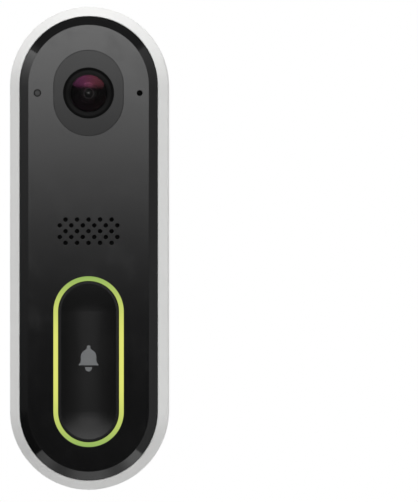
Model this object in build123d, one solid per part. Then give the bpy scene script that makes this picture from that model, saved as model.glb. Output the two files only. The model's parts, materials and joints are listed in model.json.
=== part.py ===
from build123d import *
from math import atan2, degrees, sqrt
import os

# Video doorbell on a wall bracket. Sizes are in millimetres.
# +X is to the visitor's right, +Y goes into the wall and +Z is up. The origin is on the wall's
# surface, midway between the two wall screws. A depth is a distance out from the wall (along -Y).

# ---- Driving dimensions: outer form --------------------------------------------------------------
BODY_WIDTH = 45.2  # at the seam, the widest place
BODY_HEIGHT = 137.0
FACE_DEPTH = 40.65  # wall to the flat front
SEAM_DEPTH = 13.5  # front housing meets bracket and rear housing
SEAM_GAP = 0.2
DRAFT_INSET = 0.4  # lean of the side, each side, over its whole depth
EDGE_BEVEL_DEPTH = 2.8  # bevel round the front of the housing
EDGE_BEVEL_INSET = 2.55
PLATE_BEVEL_DEPTH = 2.65  # bevel round the face plate
PLATE_BEVEL_INSET = 2.4
REAR_RADIUS = 11.5
REAR_LEAD = 0.45  # straight stretch between the seam and the rear radius

# ---- Driving dimensions: wall bracket ------------------------------------------------------------
PAD_DEPTH = 2.6
PAD_STEP = 1.3
PAD_WIDTH = 30.0
PAD_LOW, PAD_HIGH = 25.7, 43.6  # heights of a pad's ends, above and below the middle
PAD_CORNER = 3.0
PAD_FOOT_INSET = 0.3
PAD_FOOT_CHAMFER = 0.35
RIB_COUNT = 10
RIB_PITCH = 5.54
RIB_SIZE = (28.0, 3.1, 1.65)  # width, height, depth
BRACKET_PLATE = 2.2
BRACKET_WALL = 1.6
BRACKET_HALF_HEIGHT = 44.0
SCREW_SPACING = 69.0
SCREW_HOLE_RADIUS = 2.2
SCREW_HEAD_RADIUS = 4.2
TONGUE_WIDTH = 9.0
TONGUE_THICKNESS = 1.7
TONGUE_END_INSET = 0.1  # tongue's outer face, inside the bracket's end
TOP_TONGUE_FRONT = 16.0
LATCH_TONGUE_FRONT = 26.0
KEYHOLE_CLEARANCE = 0.2
KEYHOLE_MOUTH = 2.4

# ---- Driving dimensions: release pin -------------------------------------------------------------
TOOL_HOLE_RADIUS = 1.2
TOOL_HOLE_SETBACK = 18.6  # behind the face
PIN_RADIUS = 2.0
PIN_NECK_RADIUS = 1.0
PIN_STEM_RADIUS = 1.5
PIN_COLLAR_RADIUS = 3.3
PIN_COLLAR_THICKNESS = 1.4
PIN_TRAVEL = 2.5
PIN_OVERLAP = 0.25  # the pin's thick end reaches this far past the latch tongue's lower face
PIN_HEAD_LENGTH = 3.0
PIN_BORE_REACH = 2.5  # past the latch tongue
PIN_TIP_CHAMFER = 0.4
PIN_WEB_GAP = 0.4  # the neck's lower end to the web that guides the pin
PIN_FOOT_GAP = 0.6  # the stem's end above the housing's floor
SPRING_LENGTH = 8.5
SPRING_WIRE = 0.45
SPRING_TURNS = 6
SPRING_PIN_GAP = 0.25
SPRING_END_GAP = 0.02
GUIDE_CLEARANCE = 0.05
TOWER_INNER = 7.2
TOWER_WALL = 1.2
WEB_THICKNESS = 1.5
RETAINER_BITE = 0.5  # how far the retainer enters each wall of the tower
RETAINER_BEHIND = 4.0  # behind the pin's axis

# ---- Driving dimensions: housings ----------------------------------------------------------------
WALL = 1.7
LIP_CLEARANCE = 0.15
LIP_WALL = 1.2
LIP_LENGTH = 3.5
BELLY_CLEARANCE = 0.3
BELLY_WALL = 1.3
CAP_GAP = 0.2
CAP_WALL = 2.2
CAP_SHOULDER = 1.5
SEAL_SIZE = (0.6, 1.0)  # radial, along the depth
SEAL_SETBACK = 1.2  # in front of the seam
SEAL_EDGE_GAP = 0.02
SEAL_SIDE_GAP = 0.05
POCKET_WALL = 1.0  # round the room for a tongue
POCKET_WALL_BACK = 0.3  # from the belly's rear to the rear of those walls
POCKET_END_GAP = 0.4
LEDGE_THICKNESS = 2.1
LEDGE_WIDTH = 3.0
PLATE_GAP = 0.1
RIM_LAND = 0.15
HOUSING_SCREW_X = 11.2
HOUSING_SCREW_END = 12.6  # from the end of the body
HOUSING_SCREW_RADIUS = 1.1
HOUSING_SCREW_LENGTH = 13.0
HOUSING_HEAD = (2.1, 1.4)  # radius, height
HOUSING_HEAD_SEAT = 9.0
BOSS_RADIUS = 2.8
BOSS_GAP = 0.2
WELL_RADIUS = 3.2  # round a housing screw's head
HEAD_CLEARANCE = 0.3
SHANK_CLEARANCE = 0.2
TRAY_POST_RADIUS = 2.0
PORT_POST_RADIUS = 1.6
POST_FLOOR = 0.6  # left behind a thread in the belly
THREAD_CLEARANCE = 0.02
SCREW_CLEARANCE = 0.15
JOIN = 0.5  # how far the pieces of one moulding run into each other

# ---- Driving dimensions: face --------------------------------------------------------------------
PLATE_THICKNESS = 2.2
PLATE_SKIRT = (2.2, 1.7)  # width, depth behind the foot of the bevel
GASKET_THICKNESS = 0.2
GASKET_SETBACK = 0.2
INLAY_GAP = 0.05  # round the window, the ring and the bezel
CAMERA_Z = 43.7
WINDOW_SIZE = (19.6, 24.1)
WINDOW_THICKNESS = 1.2
WINDOW_LAP = 1.2
BEZEL_RADIUS = 7.1
BEZEL_PROUD = 0.1
BEZEL_RIM = 0.4
BEZEL_REAR = 0.55  # behind the camera window
BEZEL_CONE_DEPTH = 0.6
GLASS_RADIUS = 5.15
GLASS_THICKNESS = 1.3  # from the foot of the glass to the window's rear
DOME_HEIGHT = 0.9
DOME_RADIUS = 12.3
GLASS_HOLLOW = (6.2, 1.4)  # radius of the hollow behind the glass, its depth
SENSOR_X = 14.4
SENSOR_RADIUS = 1.0
SENSOR_GAP = 0.03
SENSOR_RECESS = 0.05
SENSOR_FLANGE = (0.5, 0.55)  # width, thickness
SENSOR_CHIP = (2.0, 0.7)  # side, thickness
PLUG_GAP = 0.2  # between the chip and its plug
MIC_HOLE_RADIUS = 0.8
MIC_CAN = (2.7, 3.5, 1.0)  # width, height, thickness
MIC_BOOT_RADIUS = 1.6
GRILLE_Z = 4.8
GRILLE_ROWS = (5, 6, 5, 6, 5)
GRILLE_PITCH = (3.24, 1.64)
GRILLE_HOLE_RADIUS = 0.625
BUTTON_Z = -31.9
RING_SIZE = (19.8, 48.05)
RING_BAND = 1.3
RING_FLANGE = (1.7, 0.85)  # width, thickness
RING_SKIRT_DEPTH = 3.4
RING_RECESS = 0.1
RING_SKIRT_GAP = 0.25
RING_LAMP_COUNT = 12
BUTTON_GAP = 0.15
BUTTON_RECESS = 0.15
BUTTON_TRAVEL = 0.6
BUTTON_FLANGE = (1.0, 0.8)  # width, thickness
BUTTON_SEAT = 0.2
BUTTON_WALL = 1.4
DISH_RADIUS = 60.0
BUTTON_SKIN = 2.0
DISH_MARGIN = 0.7
ICON_Z = -31.0
ICON_DEPTH = 1.0
BELL_SIDE = ((2.8, -1.95), (2.8, -1.75), (2.4, -1.3), (2.2, -0.6), (2.2, 0.4))  # from mouth to shoulder
BELL_RADIUS = 2.2
BELL_NECK = ((0.95, 2.35), (0.55, 2.85))
BELL_KNOB = (0.55, 3.15)  # radius, height
CLAPPER = (1.0, 1.25, -2.45)  # half width, height, where it starts
SWITCH_OFFSET = 14.0
SWITCH_BODY = (6.0, 3.6, 1.7)  # width, height, thickness
PLUNGER_RADIUS = 1.2
PLUNGER_PROUD = 0.7
PLUNGER_SOCKET = 1.2
PLUNGER_END_GAP = 0.1  # left behind a pushed plunger
PLUNGER_POST_RADIUS = 2.0

# ---- Driving dimensions: inside ------------------------------------------------------------------
CELL_RADIUS = 9.2
CELL_LENGTH = 65.0
CELL_GAP = 0.5
CELL_LOW_Z = -34.5
CELL_END_GAP = 0.3
CELL_EDGE = 0.6
CELL_POLE_RADIUS = 4.0
LINK_SIZE = (3.0, 0.2, 0.05)  # reach past the cells' axes, thickness, gap to the cells
FOAM_THICKNESS = 0.4
FOAM_WIDTH = 5.0
TRAY_WEB = 0.65
TRAY_CORNER = 3.0
TRAY_SIDE_GAP = 0.25  # to the rear housing's wall
TRAY_WINDOW_HEIGHTS = (-18.0, 14.0)
TRAY_WINDOW = (2.4, 14.0)  # in from the cells' outer sides, height
TRAY_WINDOW_BACK = 4.4  # in front of the cells' axes
LINK_ROOM = 4.0  # likewise
TRAY_END = 1.2
TRAY_REAR_DEPTH = 12.0
TRAY_EAR = (5.0, 6.0, 1.5)  # length, width, thickness
TRAY_SCREW_X = 15.0
FRAME_THICKNESS = 1.2
FRAME_STANDOFF = 2.2  # ledge to mid frame
FRAME_CLEARANCE = 0.3
FRAME_BORE_GAP = 1.0  # round the lens barrel
THREAD_SKIN = 0.3  # left in front of the main board's screws
SENSOR_THREAD = 3.2
BOARD_SCREW_GRIP = 2.6  # a board screw's thread beyond its board
FRAME_END = 8.0  # from the end of the body
FRAME_SCREW_HEIGHTS = (-44.0, -2.0, 25.0)
FRAME_SCREW_INSET = 2.5  # inside the housing's wall
FRAME_SCREW_SHORT = 0.8  # the screws end this far behind the ledge's front
FRAME_BOSS_RADIUS = 1.9
LEDGE_SKIN = 0.6  # left in front of the screws' holes
SMALL_SCREW_RADIUS = 0.9
SMALL_HEAD = (1.6, 0.9)
HEAD_ROUNDING = 0.45  # share of a head's height
REAR_SCREW = 4.4
DRIVE_SHARE = 0.4  # width and depth of a head's recess, as shares of the head's
BOARD_THICKNESS = 1.2
BOARD_STANDOFF = 2.2
MAIN_BOARD_WIDTH = 35.0
MAIN_BOARD_LOW, MAIN_BOARD_HIGH = -37.5, 30.0
BOARD_CORNER = 2.0
BOARD_SCREW_X = 15.3
BOARD_SCREW_END = 2.2  # from the board's end
BOARD_POST_RADIUS = 2.0
CONNECTOR_Z = -22.0
CONNECTOR_SIZE = (10.0, 3.2)
CONNECTOR_OPENING = (12.0, 5.0)
FLEX_Z = 27.5
FLEX_WIDTH = 7.0
FLEX_THICKNESS = 0.18
FLEX_BEND = 0.8
FLEX_LAP = 4.0  # length that lies on a board
FLEX_DROP = 1.0  # height above the battery tray
FLEX_LIFT = 0.1  # the flat cable's middle, off the board it lies on
FLEX_OPENING = (9.0, 2.6)
BUTTON_BOARD_THICKNESS = 0.8
BUTTON_BOARD_MARGIN = 0.35
BUTTON_BOARD_GAP = 0.3  # to the speaker's cup
SPEAKER_RADIUS = 9.0
SPEAKER_RIM = 1.0
SPEAKER_FLOOR = 0.8
SPEAKER_GASKET = 0.45
SPEAKER_CUP = (0.1, 0.9, 2.4)  # clearance, wall, height
MAGNET_SIZE = (5.6, 2.8)  # radius, height
MAGNET_FLOOR = 0.8
COIL_GAP = (3.6, 4.6)  # inner and outer radius
COIL = (3.9, 4.35)  # inner and outer radius
COIL_BACK = 2.2  # in front of the mid frame
CONE_SETBACK = 0.7
CONE_THICKNESS = 0.25
CONE_DOME = (7.6, 3.8, 1.0)  # curve, radius, height
SURROUND_WIDTH = 1.18
MESH_THICKNESS = 0.1
LED_SIZE = (1.6, 0.8, 0.7)
SENSOR_BOARD_DROP = 2.65  # behind the face plate's rear
SENSOR_BOARD_THICKNESS = 0.8
SENSOR_BOARD_HEIGHT = 24.6
SENSOR_BOARD_GAP = 0.4  # to the housing's ledge
SENSOR_BOARD_BORE_GAP = 0.5  # to the lens barrel
SENSOR_BOARD_SCREW = 3.8
SENSOR_POST_X = 12.6
SENSOR_POST_HEIGHTS = (-9.6, 6.5)  # from the lens axis
SENSOR_POST_RADIUS = 2.1
CAMERA_BOARD_DEPTH = 24.0
CAMERA_BOARD_SIZE = 20.0
CAMERA_BOARD_CORNER = 1.5
CAMERA_POST = 8.2  # across and up from the lens axis
CAMERA_POST_RADIUS = 1.9
BARREL_RADIUS = 6.0
BARREL_BACK = 27.5
SHROUD = (6.08, 7.0)  # inner and outer radius
LENS_BORE = 4.45
LENS_GAP = 0.03
REAR_APERTURE = (3.25, 2.5)  # radius, length
REAR_LENS = (2.6, 9.0)  # thickness, curve
MIDDLE_LENS = (0.8, 1.8, 7.0, 1.4)  # behind the front glass, thickness, curve, depth of its hollow
IRIS = (1.4, 3.2, 0.45)  # stop radius, bore radius, stop thickness
HOLDER_SIDE = 14.0
HOLDER_CORNER = 1.5
HOLDER_GAP = 0.2  # to the mid frame
HOLDER_FOOT = (17.8, 5.0, 1.4)  # width, height, thickness
HOLDER_POCKET = (10.5, 2.3)  # side, depth
IMAGE_CHIP = (8.4, 7.2, 1.0)
IR_LED_OFFSET = 9.6
IR_LED = (2.8, 0.9, 1.2)  # side, thickness, radius of its lens
PROCESSOR = (3.5, 15.5, 11.0, 11.0, 1.1)  # x, z, width, height, thickness
MEMORY = (-8.5, 17.0, 8.0, 6.0, 0.9)
RADIO_CAN = (-5.5, -31.0, 13.0, 8.0, 1.8)
COILS = ((-13.0, -8.0, 4.0, 4.0, 1.8), (-7.0, -8.0, 4.0, 4.0, 1.8))
CAPACITORS = ((6.0, -11.0, 3.2, 1.8, 1.6), (10.5, -11.0, 3.2, 1.8, 1.6), (15.0, -11.0, 3.2, 1.8, 1.6))
ANTENNA = (15.0, 5.0, 0.3)
ANTENNA_END = 3.5  # from the frame's end to the antenna's middle
PORT_Z = 37.0
PORT_SIZE = (9.0, 3.2)
PORT_WALL = 0.3
PORT_GAP = 0.2
PORT_LENGTH = 6.6
PORT_FLOOR = 0.8
PORT_BLADE = (6.4, 0.7)
BLADE_SETBACK = 1.2
PORT_SCREW_X = 9.4
PORT_SCREW_RISE = 0.2
CHARGE_BOARD = (23.0, 6.4, 1.0)
CHARGE_FLEX = (5.6, 3.4)  # x, width
CHARGE_FLEX_RISE = 2.5  # its end, above the socket's middle

# ---- Depths worked out from them -----------------------------------------------------------------
SEAM_REAR = SEAM_DEPTH - SEAM_GAP / 2
SEAM_FRONT = SEAM_DEPTH + SEAM_GAP / 2
PLATE_EDGE = FACE_DEPTH - PLATE_BEVEL_DEPTH
FRONT_EDGE = PLATE_EDGE - EDGE_BEVEL_DEPTH
PLATE_BACK = FACE_DEPTH - PLATE_THICKNESS
PLATE_SEAT = PLATE_EDGE - PLATE_SKIRT[1]
LEDGE_FRONT = PLATE_SEAT - GASKET_THICKNESS
LEDGE_BACK = LEDGE_FRONT - LEDGE_THICKNESS
FRAME_FRONT = LEDGE_BACK - FRAME_STANDOFF
FRAME_BACK = FRAME_FRONT - FRAME_THICKNESS
MAIN_FRONT = FRAME_BACK - BOARD_STANDOFF
MAIN_BACK = MAIN_FRONT - BOARD_THICKNESS
BUTTON_BOARD_FRONT = FRAME_FRONT + BUTTON_BOARD_THICKNESS
SWITCH_FRONT = BUTTON_BOARD_FRONT + SWITCH_BODY[2]
PLUNGER_FRONT = SWITCH_FRONT + PLUNGER_PROUD
RING_FRONT = FACE_DEPTH - RING_RECESS
BUTTON_FRONT = FACE_DEPTH - BUTTON_RECESS
BUTTON_STOP = PLUNGER_FRONT + 2 * BUTTON_FLANGE[1] - BUTTON_SEAT
SENSOR_BOARD_BACK = PLATE_BACK - SENSOR_BOARD_DROP - SENSOR_BOARD_THICKNESS
SENSOR_BOARD_FRONT = PLATE_BACK - SENSOR_BOARD_DROP
TOOL_DEPTH = FACE_DEPTH - TOOL_HOLE_SETBACK
BRACKET_FRONT = PAD_DEPTH + BRACKET_PLATE
BELLY_BACK = BRACKET_FRONT + BELLY_CLEARANCE
BELLY_FLOOR = BELLY_BACK + BELLY_WALL
CAP_FLOOR = PAD_DEPTH + CAP_WALL
LIP_FRONT = SEAM_REAR + LIP_LENGTH
CELL_DEPTH = BELLY_FLOOR + FOAM_THICKNESS + CELL_RADIUS
TRAY_FRONT = CELL_DEPTH + CELL_RADIUS + GUIDE_CLEARANCE + TRAY_WEB
SEAL_BACK = SEAM_REAR + SEAL_SETBACK
SPEAKER_FRONT = PLATE_BACK - MESH_THICKNESS - SPEAKER_GASKET
CHARGE_BOARD_BACK = BELLY_BACK + PORT_LENGTH
BARREL_FRONT = FACE_DEPTH - WINDOW_THICKNESS - BEZEL_REAR
LENS_SEAT = BARREL_FRONT - GLASS_THICKNESS
REAR_LENS_BACK = BARREL_BACK + REAR_APERTURE[1]
REAR_LENS_FRONT = REAR_LENS_BACK + REAR_LENS[0]
MIDDLE_LENS_FRONT = LENS_SEAT - MIDDLE_LENS[0]
MIDDLE_LENS_BACK = MIDDLE_LENS_FRONT - MIDDLE_LENS[1]
CAMERA_BOARD_FRONT = CAMERA_BOARD_DEPTH + BOARD_THICKNESS

# ---- Widths and heights worked out from them -----------------------------------------------------
LIP_INSET = WALL + LIP_CLEARANCE
SHELL_INSET = LIP_INSET + LIP_WALL
EDGE_INSET = DRAFT_INSET + EDGE_BEVEL_INSET + RIM_LAND
PLATE_INSET = EDGE_INSET + PLATE_GAP
CELL_X = CELL_RADIUS + CELL_GAP / 2
TRAY_HALF = BODY_WIDTH / 2 - SHELL_INSET - TRAY_SIDE_GAP
CELL_HIGH_Z = CELL_LOW_Z + CELL_LENGTH
TONGUE_OUTER_Z = BRACKET_HALF_HEIGHT - TONGUE_END_INSET
TONGUE_INNER_Z = TONGUE_OUTER_Z - TONGUE_THICKNESS
CAP_START = BRACKET_HALF_HEIGHT + CAP_GAP
HOUSING_SCREW_Z = BODY_HEIGHT / 2 - HOUSING_SCREW_END
HOUSING_SCREW_PLACES = [(x, z) for x in (-HOUSING_SCREW_X, HOUSING_SCREW_X)
                        for z in (-HOUSING_SCREW_Z, HOUSING_SCREW_Z)]
FRAME_SCREW_X = BODY_WIDTH / 2 - WALL - FRAME_SCREW_INSET
FRAME_SCREW_PLACES = [(x, z) for x in (-FRAME_SCREW_X, FRAME_SCREW_X) for z in FRAME_SCREW_HEIGHTS]
BOARD_SCREW_PLACES = [(x, z) for x in (-BOARD_SCREW_X, BOARD_SCREW_X)
                      for z in (MAIN_BOARD_LOW + BOARD_SCREW_END, MAIN_BOARD_HIGH - BOARD_SCREW_END)]
SENSOR_POST_PLACES = [(x, CAMERA_Z + z) for x in (-SENSOR_POST_X, SENSOR_POST_X)
                      for z in SENSOR_POST_HEIGHTS]
CUP_BORE = SPEAKER_RADIUS + SPEAKER_CUP[0]
CUP_RADIUS = CUP_BORE + SPEAKER_CUP[1]
SWITCH_HEIGHTS = (BUTTON_Z - SWITCH_OFFSET, BUTTON_Z + SWITCH_OFFSET)
CAMERA_POST_PLACES = [(x, CAMERA_Z + z) for x in (-CAMERA_POST, CAMERA_POST)
                      for z in (-CAMERA_POST, CAMERA_POST)]
TRAY_LOW = CELL_LOW_Z - CELL_END_GAP - TRAY_END
TRAY_HIGH = CELL_HIGH_Z + CELL_END_GAP + TRAY_END
TRAY_SCREW_PLACES = [(x, z) for x in (-TRAY_SCREW_X, TRAY_SCREW_X)
                     for z in (TRAY_LOW - TRAY_EAR[0] / 2, TRAY_HIGH + TRAY_EAR[0] / 2)]
PORT_SCREW_PLACES = [(x, PORT_Z + PORT_SCREW_RISE) for x in (-PORT_SCREW_X, PORT_SCREW_X)]
PIN_HEAD_LOW = -TONGUE_OUTER_Z - PIN_OVERLAP
PIN_NECK_LOW = PIN_HEAD_LOW - PIN_TRAVEL
WEB_HIGH_Z = PIN_NECK_LOW - PIN_WEB_GAP - WEB_THICKNESS
PIN_COLLAR_HIGH = WEB_HIGH_Z - SPRING_LENGTH
WEB_LOW_Z = PIN_COLLAR_HIGH - PIN_COLLAR_THICKNESS
TOWER_FRONT = LATCH_TONGUE_FRONT + POCKET_END_GAP + POCKET_WALL
PIN_FOOT = -BODY_HEIGHT / 2 + WALL + PIN_FOOT_GAP
PIN_BORE_HIGH = PIN_BORE_REACH - TONGUE_INNER_Z


# ---- Shapes used by many pieces ------------------------------------------------------------------
def stadium(width, height):
    """An upright outline with straight sides and half-round ends."""
    return SlotOverall(height, width, rotation=90)


def outline(inset):
    """The body's outline at the seam, moved in all round by inset."""
    return stadium(BODY_WIDTH - 2 * inset, BODY_HEIGHT - 2 * inset)


def prism(profile, back, front, taper=0.0):
    """An X-Z profile carried from depth back to depth front."""
    plane = Plane(origin=(0, -back, 0), x_dir=(1, 0, 0), z_dir=(0, -1, 0))
    return extrude(plane * profile, amount=front - back, taper=taper)


def frustum(profile, back, front, inset):
    """A prism whose sides lean in by inset on the way to the front."""
    return prism(profile, back, front, degrees(atan2(inset, front - back)))


def disc(x, z, radius, back, front):
    """A round bar along the depth."""
    return prism(Pos(x, z) * Circle(radius), back, front)


def upright(depth, radius, low, high, x=0.0):
    """A round bar along Z."""
    return Pos(x, -depth, (low + high) / 2) * Cylinder(radius, high - low)


def slab(x_low, x_high, z_low, z_high, back, front):
    """A box by its limits."""
    size = (x_high - x_low, front - back, z_high - z_low)
    return Pos((x_low + x_high) / 2, -(back + front) / 2, (z_low + z_high) / 2) * Box(*size)


def centred_slab(x, z, width, height, back, front):
    """A box about a point of the face."""
    return slab(x - width / 2, x + width / 2, z - height / 2, z + height / 2, back, front)


def rear_form(inset, back, front):
    """The rounded rear of the body, moved in by inset, cut flat at depth back."""
    radius = REAR_RADIUS - inset
    apex = SEAM_DEPTH - REAR_LEAD - radius
    block = prism(outline(inset), apex, front)
    rounded = fillet(block.edges().group_by(Axis.Y)[-1], radius)
    reach = BODY_HEIGHT
    return rounded & slab(-reach, reach, -reach, reach, back, front)


def band(low, high, back, front):
    """All of the body between two heights."""
    return slab(-BODY_WIDTH, BODY_WIDTH, low, high, back, front)


def chip(x, z, width, height, thickness):
    """A box that stands on the main board."""
    return centred_slab(x, z, width, height, MAIN_FRONT, MAIN_FRONT + thickness)


def ball(z, radius, front):
    """A ball whose foremost point is at depth front."""
    return Pos(0, radius - front, z) * Sphere(radius)


def group(pieces):
    """Separate solids kept in one node."""
    return Compound(children=[solid for piece in pieces for solid in piece.solids()])


def screw(x, z, radius, head, seat, length):
    """A pan-head screw driven towards the visitor, with its head behind depth seat."""
    head_radius, head_height = head
    body = disc(x, z, radius, seat - head_height / 2, seat + length)
    cap = disc(x, z, head_radius, seat - head_height, seat)
    cap = fillet(cap.edges().group_by(Axis.Y)[-1], head_height * HEAD_ROUNDING)
    drive = disc(x, z, head_radius * DRIVE_SHARE, seat - head_height, seat - head_height * DRIVE_SHARE)
    return body + cap - drive


def rear_screw(x, z, seat, length):
    """A small screw driven towards the wall, with its head in front of depth seat."""
    shank = disc(x, z, SMALL_SCREW_RADIUS, seat - length, seat + SMALL_HEAD[1] / 2)
    head = disc(x, z, SMALL_HEAD[0], seat, seat + SMALL_HEAD[1])
    drive = disc(x, z, SMALL_HEAD[0] * DRIVE_SHARE, seat + SMALL_HEAD[1] * DRIVE_SHARE, FACE_DEPTH)
    return shank + head - drive


def screw_holes(places):
    """Holes that small screws pass through freely."""
    return [disc(x, z, SMALL_SCREW_RADIUS + SCREW_CLEARANCE, 0, FACE_DEPTH) for x, z in places]


def thread_holes(places, back, front):
    """Holes that small screws thread into."""
    return [disc(x, z, SMALL_SCREW_RADIUS + THREAD_CLEARANCE, back, front) for x, z in places]


def ribbon(points, width, x=0.0):
    """A flat cable seen from the side: points are (depth, height) pairs joined by bends."""
    strip = trace(FilletPolyline(*points, radius=FLEX_BEND), FLEX_THICKNESS)
    plane = Plane(origin=(x - width / 2, 0, 0), x_dir=(0, -1, 0), z_dir=(-1, 0, 0))
    return extrude(plane * strip, amount=-width)


# ---- Wall bracket --------------------------------------------------------------------------------
def tongue(sign, front):
    """A flat tongue standing out of the bracket, at its top or bottom end."""
    low, high = sorted((sign * TONGUE_INNER_Z, sign * TONGUE_OUTER_Z))
    return slab(-TONGUE_WIDTH / 2, TONGUE_WIDTH / 2, low, high, BRACKET_FRONT - JOIN, front)


def pad(sign):
    """A stepped pad that stands on the wall."""
    middle, height = sign * (PAD_LOW + PAD_HIGH) / 2, PAD_HIGH - PAD_LOW
    at_pad = Pos(0, middle)
    base = prism(at_pad * RectangleRounded(PAD_WIDTH, height, PAD_CORNER), PAD_STEP, PAD_DEPTH + JOIN)
    sole = RectangleRounded(PAD_WIDTH - 2 * PAD_FOOT_INSET, height - 2 * PAD_FOOT_INSET,
                            PAD_CORNER - PAD_FOOT_INSET)
    foot = prism(at_pad * sole, 0, PAD_STEP)
    return base + chamfer(foot.edges().group_by(Axis.Y)[-1], PAD_FOOT_CHAMFER)


def wall_screw_hole(z):
    """A countersunk hole for a wall screw."""
    hole = disc(0, z, SCREW_HOLE_RADIUS, -1, BRACKET_FRONT + 1)
    front = Plane(origin=(0, -BRACKET_FRONT, z), x_dir=(1, 0, 0), z_dir=(0, 1, 0))
    sink = extrude(front * Circle(SCREW_HEAD_RADIUS), amount=SCREW_HEAD_RADIUS - SCREW_HOLE_RADIUS, taper=45)
    return hole + sink


def wall_bracket():
    """The part screwed to the wall, with ribs and pads behind and two tongues in front."""
    shell = rear_form(0, PAD_DEPTH, SEAM_REAR) - rear_form(BRACKET_WALL, BRACKET_FRONT, SEAM_REAR)
    bracket = shell & band(-BRACKET_HALF_HEIGHT, BRACKET_HALF_HEIGHT, 0, SEAM_REAR)
    width, height, depth = RIB_SIZE
    for count in range(RIB_COUNT):
        z = (count - (RIB_COUNT - 1) / 2) * RIB_PITCH
        bracket += centred_slab(0, z, width, height, PAD_DEPTH - depth, PAD_DEPTH + JOIN)
    bracket += pad(-1) + pad(1)
    bracket += tongue(1, TOP_TONGUE_FRONT) + tongue(-1, LATCH_TONGUE_FRONT)
    keyhole = upright(TOOL_DEPTH, PIN_RADIUS + KEYHOLE_CLEARANCE, -TONGUE_OUTER_Z - 1, -TONGUE_INNER_Z + 1)
    mouth = slab(-KEYHOLE_MOUTH / 2, KEYHOLE_MOUTH / 2, -TONGUE_OUTER_Z - 1, -TONGUE_INNER_Z + 1,
                 TOOL_DEPTH, LATCH_TONGUE_FRONT + 1)
    bracket -= keyhole + mouth
    for sign in (-1, 1):
        bracket -= wall_screw_hole(sign * SCREW_SPACING / 2)
    return bracket


# ---- Housings ------------------------------------------------------------------------------------
def front_housing():
    """The white front shell, with the ledge that carries the face plate."""
    shell = frustum(outline(0), SEAM_FRONT, FRONT_EDGE, DRAFT_INSET)
    shell += frustum(outline(DRAFT_INSET), FRONT_EDGE, PLATE_EDGE, EDGE_BEVEL_INSET)
    shell -= prism(outline(WALL), SEAM_FRONT, LEDGE_BACK)
    shell -= prism(outline(EDGE_INSET + LEDGE_WIDTH), LEDGE_BACK, LEDGE_FRONT)
    shell -= prism(outline(EDGE_INSET), LEDGE_FRONT, PLATE_EDGE)
    inside = prism(outline(WALL / 2), SEAM_FRONT, LEDGE_FRONT)
    in_lip = prism(outline(SHELL_INSET + LIP_CLEARANCE), SEAM_FRONT, LEDGE_FRONT)
    for x, z in HOUSING_SCREW_PLACES:
        shell += disc(x, z, BOSS_RADIUS, LIP_FRONT + BOSS_GAP, LEDGE_BACK + JOIN) & inside
        shell += disc(x, z, BOSS_RADIUS, SEAM_FRONT + BOSS_GAP, LIP_FRONT + 1) & in_lip
    for x, z in FRAME_SCREW_PLACES:
        shell += disc(x, z, FRAME_BOSS_RADIUS, FRAME_FRONT, LEDGE_BACK + JOIN) & inside
    screw_end = HOUSING_HEAD_SEAT + HOUSING_SCREW_LENGTH + 1
    for x, z in HOUSING_SCREW_PLACES:
        shell -= disc(x, z, HOUSING_SCREW_RADIUS + THREAD_CLEARANCE, SEAM_FRONT, screw_end)
    shell -= thread_holes(FRAME_SCREW_PLACES, FRAME_FRONT, LEDGE_FRONT - LEDGE_SKIN)
    return shell - upright(TOOL_DEPTH, TOOL_HOLE_RADIUS, -BODY_HEIGHT, WALL + 1 - BODY_HEIGHT / 2)


def tongue_pocket(sign, front):
    """The closed box inside the rear housing that takes a tongue, and the slot it enters by."""
    slot_low, slot_high = sorted((sign * (TONGUE_INNER_Z - BELLY_CLEARANCE), sign * CAP_START))
    half = TONGUE_WIDTH / 2 + BELLY_CLEARANCE
    box = slab(-half - POCKET_WALL, half + POCKET_WALL, slot_low - POCKET_WALL, slot_high + POCKET_WALL,
               BELLY_BACK + POCKET_WALL_BACK, front + POCKET_END_GAP + POCKET_WALL)
    slot = slab(-half, half, slot_low, slot_high, 0, front + POCKET_END_GAP)
    return box, slot


def release_tower():
    """Two walls and a web that guide the release pin, and the grooves for its retainer."""
    low, high = WEB_LOW_Z - WEB_THICKNESS, -CAP_START - 1
    outer = TOWER_INNER / 2 + TOWER_WALL
    walls = slab(-outer, outer, low, high, CAP_FLOOR - JOIN, TOWER_FRONT)
    walls -= slab(-TOWER_INNER / 2, TOWER_INNER / 2, low, high, CAP_FLOOR, FACE_DEPTH)
    web = slab(-outer, outer, WEB_HIGH_Z, WEB_HIGH_Z + WEB_THICKNESS, CAP_FLOOR - JOIN, TOWER_FRONT)
    half = TOWER_INNER / 2 + RETAINER_BITE
    groove = slab(-half, half, low, low + WEB_THICKNESS, TOOL_DEPTH - RETAINER_BEHIND - JOIN, FACE_DEPTH)
    return walls + web - groove


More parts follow.
